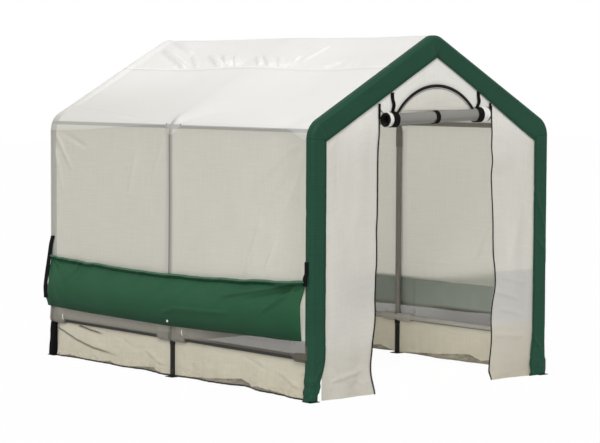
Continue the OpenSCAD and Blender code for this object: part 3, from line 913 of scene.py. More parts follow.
for side, word in SIDES:
    points = cover_points(side, roof_t[:, None], length_steps[None, :])
    roof = fitted(grid_object(f"{word}_roof_sheet", points, roof_cloth), "roof_fabric", f"{word}_roof_cover")
    roof_w = (2 - T_SEAM) * ROOF_RUN + EAVE_RUN
    points = cover_points(side, spread(3.0, 4.0, gap=0.0145)[:, None], length_steps[None, :])
    wall = fitted(grid_object(f"{word}_wall_sheet", points, wall_cloth), "wall_fabric", f"{word}_wall_cover")
    path = cover_points(side, np.array([[seam_t]]), ridge_steps[None, :], SEAM_LIFT)[0]
    lift, down = np.array([side * SIN_P, 0, COS_P]), np.array([side * COS_P, 0, -SIN_P])
    seam_parts.append(strip(path, lift, down, SEAM_W, SEAM_T))
    seam_rows += [path + lift * SEAM_STITCH_LIFT + down * shift for shift in (-SEAM_W / 4, SEAM_W / 4)]
fitted(strap_object("roof_seam_tapes", seam_parts, seam_cloth, edge_deg=50), "roof_fabric")

# Side vents: netting that wraps the rail, the green flap that hangs over it, and the skirts below

REAR_END = REAR_RIB + 0.020
side_steps = spread(SIDE_Y - LAP, MIDDLE_RIB, REAR_END, gap=0.006)
NET_H = VENT_TOP - RAIL[2]
WALL_LAP, NET_LAP, NET_WRAP = 0.115, 0.012, 0.07
NET_CLEAR, FITTING_OVER = 0.002, 0.0095
LAP_IN, BORDER_OUT = 0.0022, 0.0026


def wrap_radius(y):
    """Radius of the netting round the rail, larger over the fittings at the legs."""
    near_rib = np.zeros_like(y)
    for rib in RIB_Y:
        near_rib = np.maximum(near_rib, 1 - ease(np.abs(y - rib), 0.115, 0.150))
    return POLE_R + NET_CLEAR + FITTING_OVER * near_rib


def net_fall(side, share, y):
    """Distance out and height of the netting, from the wall's foot (share 1) to the rail (share 0)."""
    top = cover_points(side, np.array([[4.0]]), y)
    rail_x = RAIL[0] + wrap_radius(y)
    x = rail_x + (side * top[..., 0] - rail_x) * share
    z = RAIL[2] + (top[..., 2] - RAIL[2]) * share
    swell = np.sin(np.pi * np.clip(share, 0.0, 1.0))
    bow = 0.004 * swell * rumple(y / 0.2, 4.4 * share + side)
    rows = np.sin((y + side * HATCH_LEAN * z) * 2 * np.pi / HATCH_PITCH)
    rows = rows * ease(y, SIDE_Y + 0.06, SIDE_Y + 0.12)
    return x + bow + 0.0020 * rows * np.sqrt(np.abs(swell)), z


def netting_points(side):
    """Netting from the foot of the wall's lap down over the rail and in under it."""
    y = side_steps[None, :]
    turns = np.radians(spread(0, -340, gap=14))[:, None]
    head = 1 - (WALL_LAP - NET_LAP) / NET_H
    fall_x, fall_z = net_fall(side, spread(head, 0.0, gap=0.025)[:-1, None], y)
    x = np.concatenate([fall_x, RAIL[0] + wrap_radius(y) * np.cos(turns)])
    z = np.concatenate([fall_z, RAIL[2] + wrap_radius(y) * np.sin(turns)])
    return stacked(side * x, y, z)


def lap_points(side):
    """Foot of the wall, lapped over the top of the netting on its inner side."""
    y = length_steps[None, :]
    drop = spread(0, WALL_LAP, gap=0.010)[:, None]
    x, z = net_fall(side, 1 - drop / NET_H, y)
    waver = 0.004 * rumple(y / 0.12 + side, 5.5) * drop / WALL_LAP
    return stacked(side * (x - LAP_IN * ease(drop, 0.0, 0.02)), y, z - waver)


BORDER_W, BORDER_FOOT = 0.075, 0.27


def border_points(side):
    """White border of a vent beside the front leg, on the outer side of the netting."""
    y = spread(SIDE_Y - LAP, SIDE_Y + BORDER_W, gap=0.008)[None, :]
    x, z = net_fall(side, spread(1.0, BORDER_FOOT, gap=0.03)[:, None], y)
    return stacked(side * (x + 0.0004 + BORDER_OUT * ease(y, SIDE_Y, SIDE_Y + 0.02)), y, z)


FLAP_FOOT, FLAP_TOP = FLAP_LOW[2], FLAP_HIGH[2]
FLAP_SAG = {LEFT: 0.034, RIGHT: 0.150}
FLAP_FRONT, FLAP_REAR = SIDE_Y - 0.002, REAR_Y + 0.006
FLAP_L, FLAP_H = FLAP_REAR - FLAP_FRONT, FLAP_TOP - FLAP_FOOT
flap_steps = spread(0, 1, gap=0.0045)
flap_rise = steps((0, 0.88, 0.02), (0.88, 1, 0.008))
FRONT_FANS = (
    ((-1.194, 0.641), (-0.480, 0.516), 0.011, 0.016), ((-1.194, 0.641), (-0.870, 0.455), 0.011, 0.015),
    ((-1.194, 0.641), (-0.960, 0.608), 0.010, 0.012), ((-1.194, 0.610), (-0.700, 0.510), 0.011, -0.012),
)
FLAP_FOLDS = (
    ((0.040, 0.378), (-0.110, 0.416), 0.010, 0.012), ((-0.060, 0.413), (-0.320, 0.420), 0.010, 0.015),
    ((-0.250, 0.418), (-0.610, 0.431), 0.010, 0.011),
)


def corner_folds(f, v, seed):
    """Folds that fan out from the upper rear corner of a flap."""
    a = (1 - f) * FLAP_L
    b = (1 - v) * FLAP_H
    reach = np.hypot(a, b)
    fan = np.sin(np.arctan2(b, a) * 13 + seed + 1.5 * rumple(reach / 0.2, seed))
    return fan * np.exp(-reach / 0.30) * ease(reach, 0.015, 0.09)


def flap_points(side):
    """Heavy flap held at both ends: its edge sags and its middle bellies out, with folds from the straps."""
    f, v = flap_steps[None, :], flap_rise[:, None]
    seed = 6.5 * side
    span = 4 * f * (1 - f)
    foot = FLAP_FOOT + 0.026 * (1 - f) ** 2 + 0.010 * f ** 2 - 0.008 * span
    foot = foot + 0.003 * rumple(f * 9 + seed, 1.2)
    top = FLAP_TOP + 0.022 * (1 - f) ** 2 - FLAP_SAG[side] * span + 0.003 * rumple(f * 26 + seed, 2.2)
    z = foot + (top - foot) * v
    bow_in = 0.042 * (0.7 + 0.3 * np.sin(np.pi * v)) * (1 - ease(v, 0.55, 0.98)) * np.exp(-f / 0.03)
    rear_edge = 0.004 - 0.034 * ease(v, 0.55, 1.0) + 0.042 * np.exp(-((v - 0.22) / 0.16) ** 2)
    y = FLAP_FRONT + FLAP_L * f + bow_in + rear_edge * np.exp(-(1 - f) / 0.03)
    belly = np.sin(np.pi * np.clip(v / 0.91, 0, 1) ** 0.85)
    held = 1 - np.exp(-np.minimum(f, 1 - f) / 0.022)
    out = 0.005 + ((0.038 + 0.008 * rumple(f * 5 + seed, 0.7)) * belly + 0.008 * (1 - v)) * held
    fans = creases(y, z, FRONT_FANS) + 0.008 * corner_folds(f, v, seed + 2)
    streaks = 0.0045 * rumple(f * 30 + 5 * v + seed, v * 1.6) * ease(v, 0.25, 0.8)
    gather = 0.0095 * rumple(f * 85 + 8 * v + seed, v * 2.0) * ease(v, 0.62, 0.90) * (0.25 + 0.75 * f ** 2)
    hem = 0.011 * ease(v, 0.905, 0.975) - 0.006 * ease(v, 0.975, 1.0)
    bulge = out + fans + creases(y, z, FLAP_FOLDS) + (streaks + gather) * held + hem
    return stacked(side * (LEG_X + OUTER + np.maximum(bulge, 0.004)), y, z)


SKIRT_BAYS = {"front": (FRONT_RIB, MIDDLE_RIB), "rear": (MIDDLE_RIB, REAR_RIB)}
skirt_rise = spread(0, 1, gap=0.014)
SKIRT_LINES = (
    ((0.513, 0.062), (0.801, 0.085), (0.988, 0.115), (1.163, 0.160), (1.235, 0.176)),
    ((0.709, 0.177), (0.878, 0.192), (0.988, 0.208)),
)
SKIRT_CREASES = (
    ((0.58, 0.76), (0.84, 0.96), 0.026, -0.005), ((0.05, 0.25), (0.20, 0.60), 0.030, 0.006),
    ((0.30, 0.55), (0.48, 0.85), 0.025, -0.004),
)
SKIRT_TUCKS = {
    "front": ((0.36, 0.97, 0.046, 0.20), (0.01, 0.46, 0.026, 0.75)),
    "rear": ((0.04, 0.40, 0.030, 0.25), (0.40, 0.62, 0.022, 0.4), (0.64, 0.98, 0.017, 0.6)),
}


def drawn_line(y, z, stops, width):
    """1 on a bent line through (y, z) stops, falling off over its width and at both ends."""
    places, heights = zip(*stops)
    off = (z - np.interp(y, places, heights)) / width
    first = ease(y, places[0], places[0] + 0.35 * (places[-1] - places[0]))
    return np.exp(-off ** 2) * first * (1 - ease(y, places[-1], places[-1] + 0.02))


def tuck_depth(f, rise, tucks):
    """How far below the top of a tuck in the hem a place lies.

    A tuck is its start, end, height and the place of its peak.
    """
    depth = np.zeros(np.broadcast(f, rise).shape)
    for start, end, height, peak in tucks:
        g = (f - start) / (end - start)
        top = height * np.clip(np.minimum(g / peak, (1 - g) / (1 - peak)), 0, 1)
        depth = np.maximum(depth, top - rise)
    return np.clip(depth, 0, None)


def skirt_points(side, bay, seed):
    """Points and fold shade of a loose skirt that hangs from the rail, slack and tucked at the ground."""
    start, end = SKIRT_BAYS[bay]
    clear = TUBE_R + 0.0005
    f, v = spread(0, 1, gap=0.007)[None, :], skirt_rise[:, None]
    low = 1 - v
    slack = 4 * f * (1 - f)
    y = start + clear + (end - start - 2 * clear) * f + 0.006 * rumple(f * 7 + seed, v * 2) * low * slack
    top = RAIL[2] - POLE_R * 0.4
    bottom = HEM + 0.008 * (1 + rumple(f * 6 + seed, 9.5)) * slack
    z = bottom + (top - bottom) * v
    swing = 0.024 * rumple(f * 2.6 + seed, 0.4) + 0.014 * rumple(f * 8 + seed, 3.0 + v)
    crumple = 0.0026 * rumple(f * 22 + 3 * v + seed, v * 4) + 0.0018 * rumple(f * 46 + seed, v * 9 + 2)
    hem_crumple = 0.005 * rumple(f * 60 + seed, v * 16) * ease(low, 0.72, 0.95)
    lines = sum(drawn_line(y, z, stops, 0.0065) for stops in SKIRT_LINES)
    depth = tuck_depth(f, z - bottom, SKIRT_TUCKS[bay])
    fade = np.sin(np.pi * np.clip(v * 0.95 + 0.025, 0, 1)) ** 0.5
    behind = np.exp(-(np.minimum(f, 1 - f) * (end - start) / 0.035) ** 2)
    out = (swing + 0.010) * low + (crumple + creases(f, v, SKIRT_CREASES)) * fade + hem_crumple
    x = LEG_X + (out - 0.010 * lines - 0.45 * depth) * (1 - behind)
    # Painted shade, kept as each vertex's fold value: the creases, the tucks' undersides and the crumpled
    # rear end.
    crumpled_end_shade = ease(f, 0.958, 0.976) * (0.55 + 0.4 * rumple(f * 90, v * 9)) * (bay == "rear")
    under = ease(depth, 0.0, 0.002) * (0.62 + 0.16 * rumple(f * 30, v * 24) + 0.30 * np.exp(-depth / 0.005))
    shade = np.maximum(0.85 * lines, under)
    return stacked(side * x, y, z), np.clip(np.maximum(shade, crumpled_end_shade), 0, 1)


CUFF_FOOT, CUFF_TOP = 0.006, RAIL[2] - 0.022
CUFF_R = TUBE_R + 0.008


def cuff_points(side):
    """Cloth gathered round the foot of a rear leg, wider at the ground, black as painted shade."""
    turn = spread(0, 2 * math.pi, gap=0.16)[None, :]
    rise = spread(0, 1, gap=0.05)[:, None]
    slack = 0.004 * (1 + rumple(turn * 2.2 + 3 * side, rise * 4)) * np.sin(turn / 2)
    radius = TUBE_R + 0.0070 + 0.0110 * (1 - rise) ** 1.2 + slack
    return stacked(side * (LEG_X - radius * np.cos(turn)), REAR_RIB + radius * np.sin(turn),
                   CUFF_FOOT + (CUFF_TOP - CUFF_FOOT) * rise)


CORD_PLACES = ((REAR_RIB - 0.130, 0.253), (MIDDLE_RIB - 0.125, 0.271))
CORD_W, CORD_T, CORD_OUT = 0.003, 0.002, 0.004
EYELET_F, EYELET_V, EYELET_LIFT = 0.485, 0.10, 0.0012
STITCH_V = 0.915
HEM_ROWS, HEM_OUT, HEM_DOWN = 4, 0.0014, 0.001
cords, flap_hems, eyelets = [], [], []
for side, word in SIDES:
    screen = grid_object(f"{word}_screen_sheet", netting_points(side), netting)
    fitted(screen, "screen_mesh", f"{word}_vent_screen")
    lap = fitted(grid_object(f"{word}_wall_lap_sheet", lap_points(side), wall_cloth), "wall_fabric")
    border = fitted(grid_object(f"{word}_vent_border_sheet", border_points(side), wall_cloth), "wall_fabric")
    cuff = fitted(grid_object(f"{word}_rear_cuff_sheet", cuff_points(side), cuff_cloth), "strap_webbing")
    2 * math.pi * CUFF_R
    for at, height in CORD_PLACES:
        x = RAIL[0] + float(wrap_radius(np.array([at]))[0]) + CORD_OUT
        bend = np.array([[x, at + 0.003, height + 0.016], [x + 0.004, at, height + 0.004],
                         [x + 0.003, at + 0.004, height - 0.006], [x, at - 0.003, height - 0.016]])
        cords.append(strip(bend * (side, 1, 1), (side, 0, 0), (0, 1, 0), CORD_W, CORD_T))
    hung = flap_points(side)
    flap_hems.append(hung[np.argmin(np.abs(flap_rise - STITCH_V))] + np.array([side * STITCH_LIFT, 0, 0]))
    eyelet = hung[np.argmin(np.abs(flap_rise - EYELET_V)), np.argmin(np.abs(flap_steps - EYELET_F))]
    eyelets.append(eyelet + np.array([side * EYELET_LIFT, 0, 0]))
    flap = thicken(grid_object(f"{word}_flap_sheet", hung, flap_cloth))
    fitted(flap, "green_fabric", f"{word}_vent_flap")
    for seed, (bay, (start, end)) in enumerate(SKIRT_BAYS.items()):
        points, shade = skirt_points(side, bay, 3.7 * side + 11.3 * seed)
        skirt = grid_object(f"{word}_{bay}_skirt_sheet", points, skirt_cloth, shade=shade)
        fitted(skirt, "wall_fabric", f"{word}_skirts")
        # The folded-over hem is dark as painted shade along the skirt's foot.
        folded_over = points[:HEM_ROWS] + np.array([side * HEM_OUT, 0, -HEM_DOWN])
        hem = thicken(grid_object(f"{word}_{bay}_skirt_hem", folded_over, hem_cloth))
        fitted(hem, "wall_fabric")
        end - start - 2 * TUBE_R

fitted(strap_object("rail_cords", cords, white_thread), "strap_webbing")

# Front and rear ends

# How far the doorway's loose edges stray from upright, as (height, distance)
DOOR_STRAY = {
    LEFT: ((1.58, 0.0), (1.1, 0.0), (0.8, -0.004), (0.62, -0.008), (0.43, -0.018), (0.25, -0.036),
           (0.14, -0.040), (0.0, -0.016)),
    RIGHT: ((1.58, 0.006), (1.1, 0.014), (0.85, 0.018), (0.58, 0.040), (0.40, 0.022), (0.24, 0.022),
            (0.07, 0.008), (0.0, 0.036)),
}
PANEL_Y = FRONT_Y + 0.0014


def rake_z(x):
    """Height of the trim's inner edge on the front face."""
    return INNER_TOP - np.abs(x) * TAN_P


def door_edge(side, z):
    """Place of a doorway edge across the front."""
    return side * DOOR_HALF + through(z, DOOR_STRAY[side])


def edge_swing(side, z):
    """How far the loose door edge swings along the length."""
    free = 1 - ease(z, 1.25, 1.55)
    return free * (0.016 * rumple(z * 3.1 + 2.2 * side, 8.1) + 0.006 * rumple(z * 11 + side, 1.9))


PANEL_CREASES = {
    LEFT: (((-0.77, 0.105), (-0.52, 0.145), 0.012, 0.009), ((-0.79, 0.175), (-0.64, 0.070), 0.012, 0.008),
           ((-0.61, 0.105), (-0.49, 0.055), 0.011, 0.007), ((-0.72, 0.74), (-0.56, 1.02), 0.030, 0.003)),
    RIGHT: (((0.52, 0.60), (0.74, 0.55), 0.011, 0.006), ((0.47, 0.52), (0.70, 0.46), 0.011, 0.006),
            ((0.50, 0.42), (0.72, 0.37), 0.011, 0.006), ((0.46, 0.27), (0.74, 0.24), 0.012, 0.006),
            ((0.60, 0.66), (0.70, 1.05), 0.030, 0.003)),
}


def front_panel_points(side):
    """Loose panel beside the doorway, tucked under the trim and free along its door edge."""
    f, v = spread(0, 1, gap=0.02)[None, :], spread(0, 1, gap=0.0062)[:, None]
    under = 0.02
    z_edge = HEM + (DOOR_TOP - HEM) * v
    edge_x = door_edge(side, z_edge)
    trim_x = side * (INNER_X + under)
    x = trim_x + (edge_x - trim_x) * f
    top = np.minimum(DOOR_TOP + 0.012, rake_z(x) + under)
    z = HEM + (top - HEM) * v
    loose = ease(f, 0.1, 1.0)
    clear = ease(f, 0.06, 0.22) * ease(rake_z(x) - z, 0.02, 0.10)
    drape = 0.007 * rumple(x / 0.085 + 1.5 * side, z * 1.4) * clear * (1 - ease(z, 1.3, 1.6))
    ripples = 0.0016 * rumple(x / 0.09 + side, z / 0.018) * ease(0.9 - z, 0.0, 0.4) * clear
    foot = 0.006 * rumple(x / 0.05 + 4 * side, z / 0.06) * (1 - ease(z, 0.03, 0.20)) * clear
    foot = foot - creases(x, z, PANEL_CREASES[side]) * clear
    swing = edge_swing(side, z) * loose ** 1.5 - 0.004 * loose * (1 - ease(z, 0.0, 0.3))
    y = PANEL_Y + swing + drape + ripples + foot + 0.002 * (1 - clear)
    return stacked(x, y, z)


for side, word in SIDES:
    panel = grid_object(f"front_{word}_sheet", front_panel_points(side), front_cloth)
    fitted(panel, "wall_fabric", f"front_{word}_panel")


def vent_half(z, grow):
    """Half width of the half-moon at a height."""
    return np.sqrt(np.clip((VENT_R + grow) ** 2 - (z - VENT_CZ) ** 2, 0, None))


def outside_vent(middles):
    """Faces that lie outside a gable vent opening."""
    inside = np.abs(middles[:, 0]) < vent_half(middles[:, 2], -VENT_LAP)
    return ~(inside & (middles[:, 2] > VENT_LOW[2] + VENT_LAP) & (middles[:, 2] < VENT_HIGH[2] - VENT_LAP))


DOOR_LAP = 0.030
# Shares of their rectangles that the gable, the rear end's top and a half-moon fill
GABLE_SHARE, REAR_SHARE, MOON_SHARE = 0.42, 0.56, 0.68


def gable_points():
    """Panel over the doorway, under the rake trim, lapped down behind the roll."""
    under = 0.016
    reach = (INNER_TOP + under - DOOR_TOP - 0.006) / TAN_P
    x = spread(-reach, 0, reach, gap=0.012)[None, :]
    v = spread(0, 1, gap=0.028)[:, None]
    bottom = DOOR_TOP - 0.004 - DOOR_LAP * (1 - ease(np.abs(x), DOOR_HALF - 0.03, DOOR_HALF))
    z = bottom + (rake_z(x) + under - bottom) * v
    clear = ease(rake_z(x) - z, 0.03, 0.10)
    y = PANEL_Y - 0.0006 + 0.0018 * rumple(x / 0.16, z / 0.16) * ease(z, DOOR_TOP, DOOR_TOP + 0.1) * clear
    y = y + 0.002 * (1 - clear)
    return stacked(x, y, z)


gable = fitted(grid_object("front_gable_sheet", gable_points(), front_cloth, outside_vent),
               "wall_fabric", "front_gable_panel")


def rear_points():
    """Rear end, out to the middle of the rear rib's tube and a little over it."""
    off = 0.0165
    half = LEG_X + off
    x = steps((-half, -EAVE_CX, 0.008), (-EAVE_CX, EAVE_CX, 0.013), (EAVE_CX, half, 0.008))[None, :]
    v = spread(0, 1, gap=0.0072)[:, None]
    reach = np.abs(x)
    bend = EAVE_Z + np.sqrt(np.clip((EAVE_BEND + off) ** 2 - np.clip(reach - EAVE_CX, 0, None) ** 2, 0, None))
    slope = (RAFTER_LINE + off - reach * SIN_P) / COS_P
    peak = PEAK_Z + np.sqrt(np.clip((RIDGE_BEND + off) ** 2 - reach ** 2, 0, None))
    top = np.where(reach > RAFTER_LOW[0] + off * SIN_P, bend, slope)
    top = np.where(reach < RAFTER_HIGH[0] + off * SIN_P, peak, top)
    z = HEM + (top - HEM) * v
    inside = ease(half - reach, 0.03, 0.25)
    drape = 0.005 * rumple(x / 0.14, z * 1.2) + 0.003 * rumple(x / 0.05 + z, z * 2)
    y = REAR_Y - 0.001 + inside * drape * (1 - 0.6 * ease(z, 1.2, 1.6))
    return stacked(x, y, z)


rear = fitted(grid_object("rear_end_sheet", rear_points(), rear_cloth, outside_vent),
              "wall_fabric", "rear_panel")
REAR_W = 2 * (LEG_X + COVER)
REAR_W * (EAVE_Z - HEM) + REAR_W * (RIDGE_TOP - EAVE_Z) * REAR_SHARE


def half_moon(y, grow, puff):
    """Half-moon sheet standing at y, swelling by puff."""
    f, v = spread(-1, 1, gap=0.05)[None, :], spread(0, 1, gap=0.06)[:, None]
    foot = VENT_LOW[2] - grow
    half = float(vent_half(np.array(foot), grow))
    x = half * np.sin(f * math.pi / 2)
    arc = VENT_CZ + np.sqrt(np.clip((VENT_R + grow) ** 2 - x ** 2, 0, None))
    z = foot + (arc - foot) * v
    swell = puff * np.sin(np.pi * np.clip(v, 0.02, 0.98)) * np.cos(f * math.pi / 2)
    return stacked(x, y + swell + 0.4 * puff * rumple(x / 0.07, z / 0.07) * np.sin(np.pi * v), z)


VENT_W = 2 * VENT_HIGH[0]
MOON_OUT, MOON_PUFF, MOON_GROW, MOON_T = 0.0016, 0.004, -0.0005, 0.001
NET_IN, NET_GROW = 0.004, 0.006
for word, y, face, held_by in (
    ("front", FRONT_Y, -1, "front_gable_sheet"),
    ("rear", REAR_Y, 1, "rear_end_sheet"),
):
    points = half_moon(y + face * MOON_OUT, MOON_GROW, face * MOON_PUFF)
    moon = thicken(grid_object(f"{word}_vent_sheet", points, vent_cloth), MOON_T)
    fitted(moon, "wall_fabric", f"{word}_vent_flap")
    net = grid_object(f"{word}_vent_netting", half_moon(y - face * NET_IN, NET_GROW, 0.0), netting)
    fitted(net, "screen_mesh", "gable_vent_screens")

# Green trim round the front, wrapped on to the walls and roof

TRIM_OFF = OUTER + 0.0008
TRIM_Y = FRONT_Y - 0.002
TRIM_CREASES = {
    LEFT: (((-0.075, 0.300), (-0.010, 0.190), 0.010, 0.006), ((-0.060, 0.180), (0.000, 0.110), 0.009, 0.007)),
    RIGHT: (((-0.073, 1.115), (0.000, 0.845), 0.009, 0.006), ((-0.058, 0.816), (0.000, 0.728), 0.009, 0.006),
            ((-0.075, 0.240), (-0.020, 0.160), 0.009, 0.007)),
}


def trim_points(side, t, gather):
    """Trim along runs t; gather(z) draws its inner edge towards the leg."""
    t = t[:, None]
    a = slant(t)
    axis_x, axis_z = rib_axis(t)
    turns = np.radians(spread(0, 90, gap=11))
    inner = spread(OUTER - TRIM_W, 0, gap=0.005)[:-1]
    flange = spread(0, SIDE_Y - FRONT_RIB, gap=0.006)[1:]
    n = np.concatenate([inner, TRIM_OFF * np.sin(turns), np.full_like(flange, TRIM_OFF)])[None, :]
    y = np.concatenate([np.full_like(inner, TRIM_Y), FRONT_RIB - (FRONT_RIB - TRIM_Y) * np.cos(turns),
                        FRONT_RIB + flange])[None, :]
    on_leg = np.where(n < 0, n * (1 - gather(axis_z)), n)
    on_rake = np.where(n < 0, on_leg * RAKE_TRIM_W / TRIM_W, n)
    off = on_rake + (on_leg - on_rake) * ease(t, 2.0, 3.0)
    x, z = axis_x + off * np.cos(a), axis_z + off * np.sin(a)
    sharp = ease(-n, 0.0, TRIM_W - OUTER) * (n < 0)
    corner_x = LEG_X + on_leg
    corner_z = (RAFTER_LINE + on_rake - corner_x * SIN_P) / COS_P
    start_x, start_z = RAFTER_LOW[0] + on_rake * SIN_P, RAFTER_LOW[1] + on_rake * COS_P
    f = np.clip(t - 2, 0, 1)
    up, down = np.clip(2 * f, 0, 1), np.clip(2 * f - 1, 0, 1)
    square_x = start_x + (corner_x - start_x) * up
    square_z = start_z + (corner_z - start_z) * up + (EAVE_Z - corner_z) * down
    at_eave = (t > 2) & (t < 3)
    x = np.where(at_eave, x + (square_x - x) * sharp, x)
    z = np.where(at_eave, z + (square_z - z) * sharp, z)
    ridge_f = np.clip(t, 0, 1)
    ridge_x = ridge_f * (RAFTER_HIGH[0] + on_rake * SIN_P)
    ridge_z = (RAFTER_LINE + on_rake - ridge_x * SIN_P) / COS_P
    at_ridge = t < 1
    x = np.where(at_ridge, x + (ridge_x - x) * sharp, x)
    z = np.where(at_ridge, z + (ridge_z - z) * sharp, z)
    loose = ease(-z, -0.20, -0.03)
    crush = 0.008 * rumple(z / 0.028 + 3 * side, n / 0.03 + 2) * loose
    wave = 0.0016 * (1 + rumple(t * 9 + 5 * side, n / 0.05))
    wave = wave + 0.0008 * (1 + rumple(z / 0.03 + n / 0.02, n / 0.06 + 3 * side))
    wave = wave * ease(t, 0.0, 0.8) + creases(n, z, TRIM_CREASES[side]) * (t > 3)
    flare = 0.013 * loose * ease(n, 0.0, TRIM_OFF)
    y = y - (np.abs(crush) + wave) * (n < 0.01) - 0.004 * loose * (n < 0)
    return stacked(side * (x + crush + flare), y, z)


def left_gather(z):
    """The left trim is drawn in towards the leg at its foot."""
    return 0.72 * (1 - ease(z, 0.02, 0.24))


def right_gather(z):
    """The right trim is wider than its cut, most at its foot."""
    return -0.26 * (1 - ease(z, EAVE_Z + 0.05, 1.90)) - 0.34 * (1 - ease(z, 0.02, 0.30))


STITCH_IN = 2
TRIM_RUNS = (
    ("leg", spread(t_at(HEM), t_at(0.25), 3.0, gap=0.009), EAVE_Z - HEM, TRIM_W, "front_legs"),
    ("rake", spread(3.0, 2.5, 2.0, 1.0, 0.0, gap=0.05), ROOF_RUN + EAVE_RUN, RAKE_TRIM_W, "front_rafters"),
)
trim_rows = []
for (side, word), gather in zip(SIDES, (left_gather, right_gather)):
    for place, runs, length, width, held_by in TRIM_RUNS:
        points = trim_points(side, runs, gather)
        trim_rows.append(points[:, STITCH_IN] - np.array([0, STITCH_LIFT, 0]))
        trim = thicken(grid_object(f"{word}_{place}_trim_sheet", points, trim_cloth))
        fitted(trim, "green_fabric", f"{word}_{place}_trim")

# Rolled-up door with its straps


def winding(turns):
    """Radius of the wound sheet after a number of turns."""
    return ROLL_R - 0.0019 * turns


def roll_z(x):
    """Height of the roll's middle, lower at its left end."""
    return ROLL[2] + ROLL_TILT * (x - ROLL_HALF)


ROLL_TURNS, ROLL_START = 6.2, math.radians(200)
ROLL_STRAP_X = (ROLL_LEFT + 0.053, -0.010, ROLL_HALF - 0.080)
angles = spread(0, -2 * math.pi * ROLL_TURNS, gap=0.16)
roll_x = spread(ROLL_LEFT, ROLL_LEFT + 0.06, ROLL_HALF - 0.06, ROLL_HALF, gap=0.022)
grid_a, grid_x = np.meshgrid(angles, roll_x, indexing="ij")
wound = winding(-grid_a / (2 * math.pi))
soft = 0.0016 * rumple(grid_x / 0.09, grid_a * 1.4) * ease(ROLL_R - wound, -0.001, 0.004)
dip = 0.0022 * sum(np.exp(-((grid_x - at) / 0.02) ** 2) for at in ROLL_STRAP_X)
slim = 0.0065 * ease(grid_x, ROLL_STRAP_X[0] + 0.01, ROLL_STRAP_X[0] + 0.05)
slim = slim * (1 - ease(grid_x, ROLL_STRAP_X[2] - 0.05, ROLL_STRAP_X[2] - 0.01))
radius = wound - 0.003 - slim - dip - np.abs(soft)
turned = grid_a + ROLL_START
roll_points = stacked(grid_x, ROLL[1] + radius * np.cos(turned), roll_z(grid_x) + radius * np.sin(turned))
door = fitted(grid_object("door_roll_sheet", roll_points, roll_cloth), "wall_fabric", "door_roll")

STRAP_T, TIE_W = 0.002, 0.024
LOOP_WIDTHS, LOOP_SINKS = (0.044, 0.030, 0.044), (0.003, 0.0095, 0.003)
TIES = ((ROLL_STRAP_X[0], 0.108), (ROLL_STRAP_X[2], 0.096))
loops = []
turns = np.linspace(0, 2 * math.pi, 49)
ring_normals = stacked(0, np.cos(turns), np.sin(turns))
for at, width, sunk in zip(ROLL_STRAP_X, LOOP_WIDTHS, LOOP_SINKS):
    middle = np.array([at, ROLL[1], roll_z(at)])
    ring = middle + (ROLL_R + 0.0006 - sunk) * ring_normals
    loops.append(strip(ring, ring_normals, (1, 0, 0), width, STRAP_T))
rise = spread(0, 1, gap=0.06)
for at, length in TIES:
    sway = 0.004 * np.sin(rise * 5.5) * ease(rise, 0, 0.3) + 0.014 * rise * ease(at, -0.1, 0.1)
    y = FRONT_Y - 0.0012 - 0.005 * np.exp(-((rise - 0.4) / 0.2) ** 2)
    path = stacked(at + sway, y, roll_z(at) + ROLL_R - 0.004 + rise * length)
    loops.append(strip(path, FRONTWARD, (1, 0, 0), TIE_W, STRAP_T))
fitted(strap_object("roll_strap_loops", loops, strap_web), "strap_webbing", "roll_straps")

# Straps that hold the flaps at both ends

REAR_STRAP_TOP, REAR_STRAP_FALL, REAR_STRAP_W = 0.752, 0.392, 0.042
REAR_STRAP_LINE = ((0, 0.14, 0.83, 1), (1.246, 1.268, 1.299, 1.292))
FRONT_STRAP_TOP, FRONT_STRAP_FALL, FRONT_STRAP_W = FLAP_TOP + 0.122, 0.130, 0.032
FRONT_STRAP_Y = {LEFT: SIDE_Y - 0.010, RIGHT: SIDE_Y + 0.030}
rear_run, front_run = spread(0, 1, gap=0.06), spread(0, 1, gap=0.08)
rear_x = LEG_X + OUTER + 0.003 + 0.024 * ease(rear_run, 0.0, 0.9)
front_x = LEG_X + OUTER + 0.002 + 0.012 * ease(front_run, 0.45, 0.7)
flap_bands = []
for side in (LEFT, RIGHT):
    rear_y = np.interp(rear_run, *REAR_STRAP_LINE)
    path = stacked(side * rear_x, rear_y, REAR_STRAP_TOP - rear_run * REAR_STRAP_FALL)
    flap_bands.append(strip(path, (side, 0, 0), (0, 1, 0), REAR_STRAP_W, STRAP_T))
    path = stacked(side * front_x, FRONT_STRAP_Y[side], FRONT_STRAP_TOP - front_run * FRONT_STRAP_FALL)
    flap_bands.append(strip(path, (side, 0, 0), (0, 1, 0), FRONT_STRAP_W, STRAP_T))
fitted(strap_object("flap_strap_bands", flap_bands, strap_web), "strap_webbing", "flap_straps")

# Recipes for rows of small things along a path


class Recipe(Tree):
    """A Geometry Nodes tree with named inputs."""

    def __init__(self, name, inputs):
        super().__init__(bpy.data.node_groups.new(name, "GeometryNodeTree"))
        sockets = self.tree.interface
        sockets.new_socket("Rows", in_out="OUTPUT", socket_type="NodeSocketGeometry")
        for label, kind in {"Path": "Geometry", **inputs}.items():
            sockets.new_socket(label, in_out="INPUT", socket_type=f"NodeSocket{kind}")
        self.given = self.node("NodeGroupInput").outputs

    def end(self, geometry):
        real = self.node("GeometryNodeRealizeInstances", None, {0: geometry})
        sockets = {"Geometry": real.outputs[0], "Material": self.given["Material"]}
        dressed = self.node("GeometryNodeSetMaterial", None, sockets)
        self.node("NodeGroupOutput", None, {0: dressed.outputs[0]})
        return self


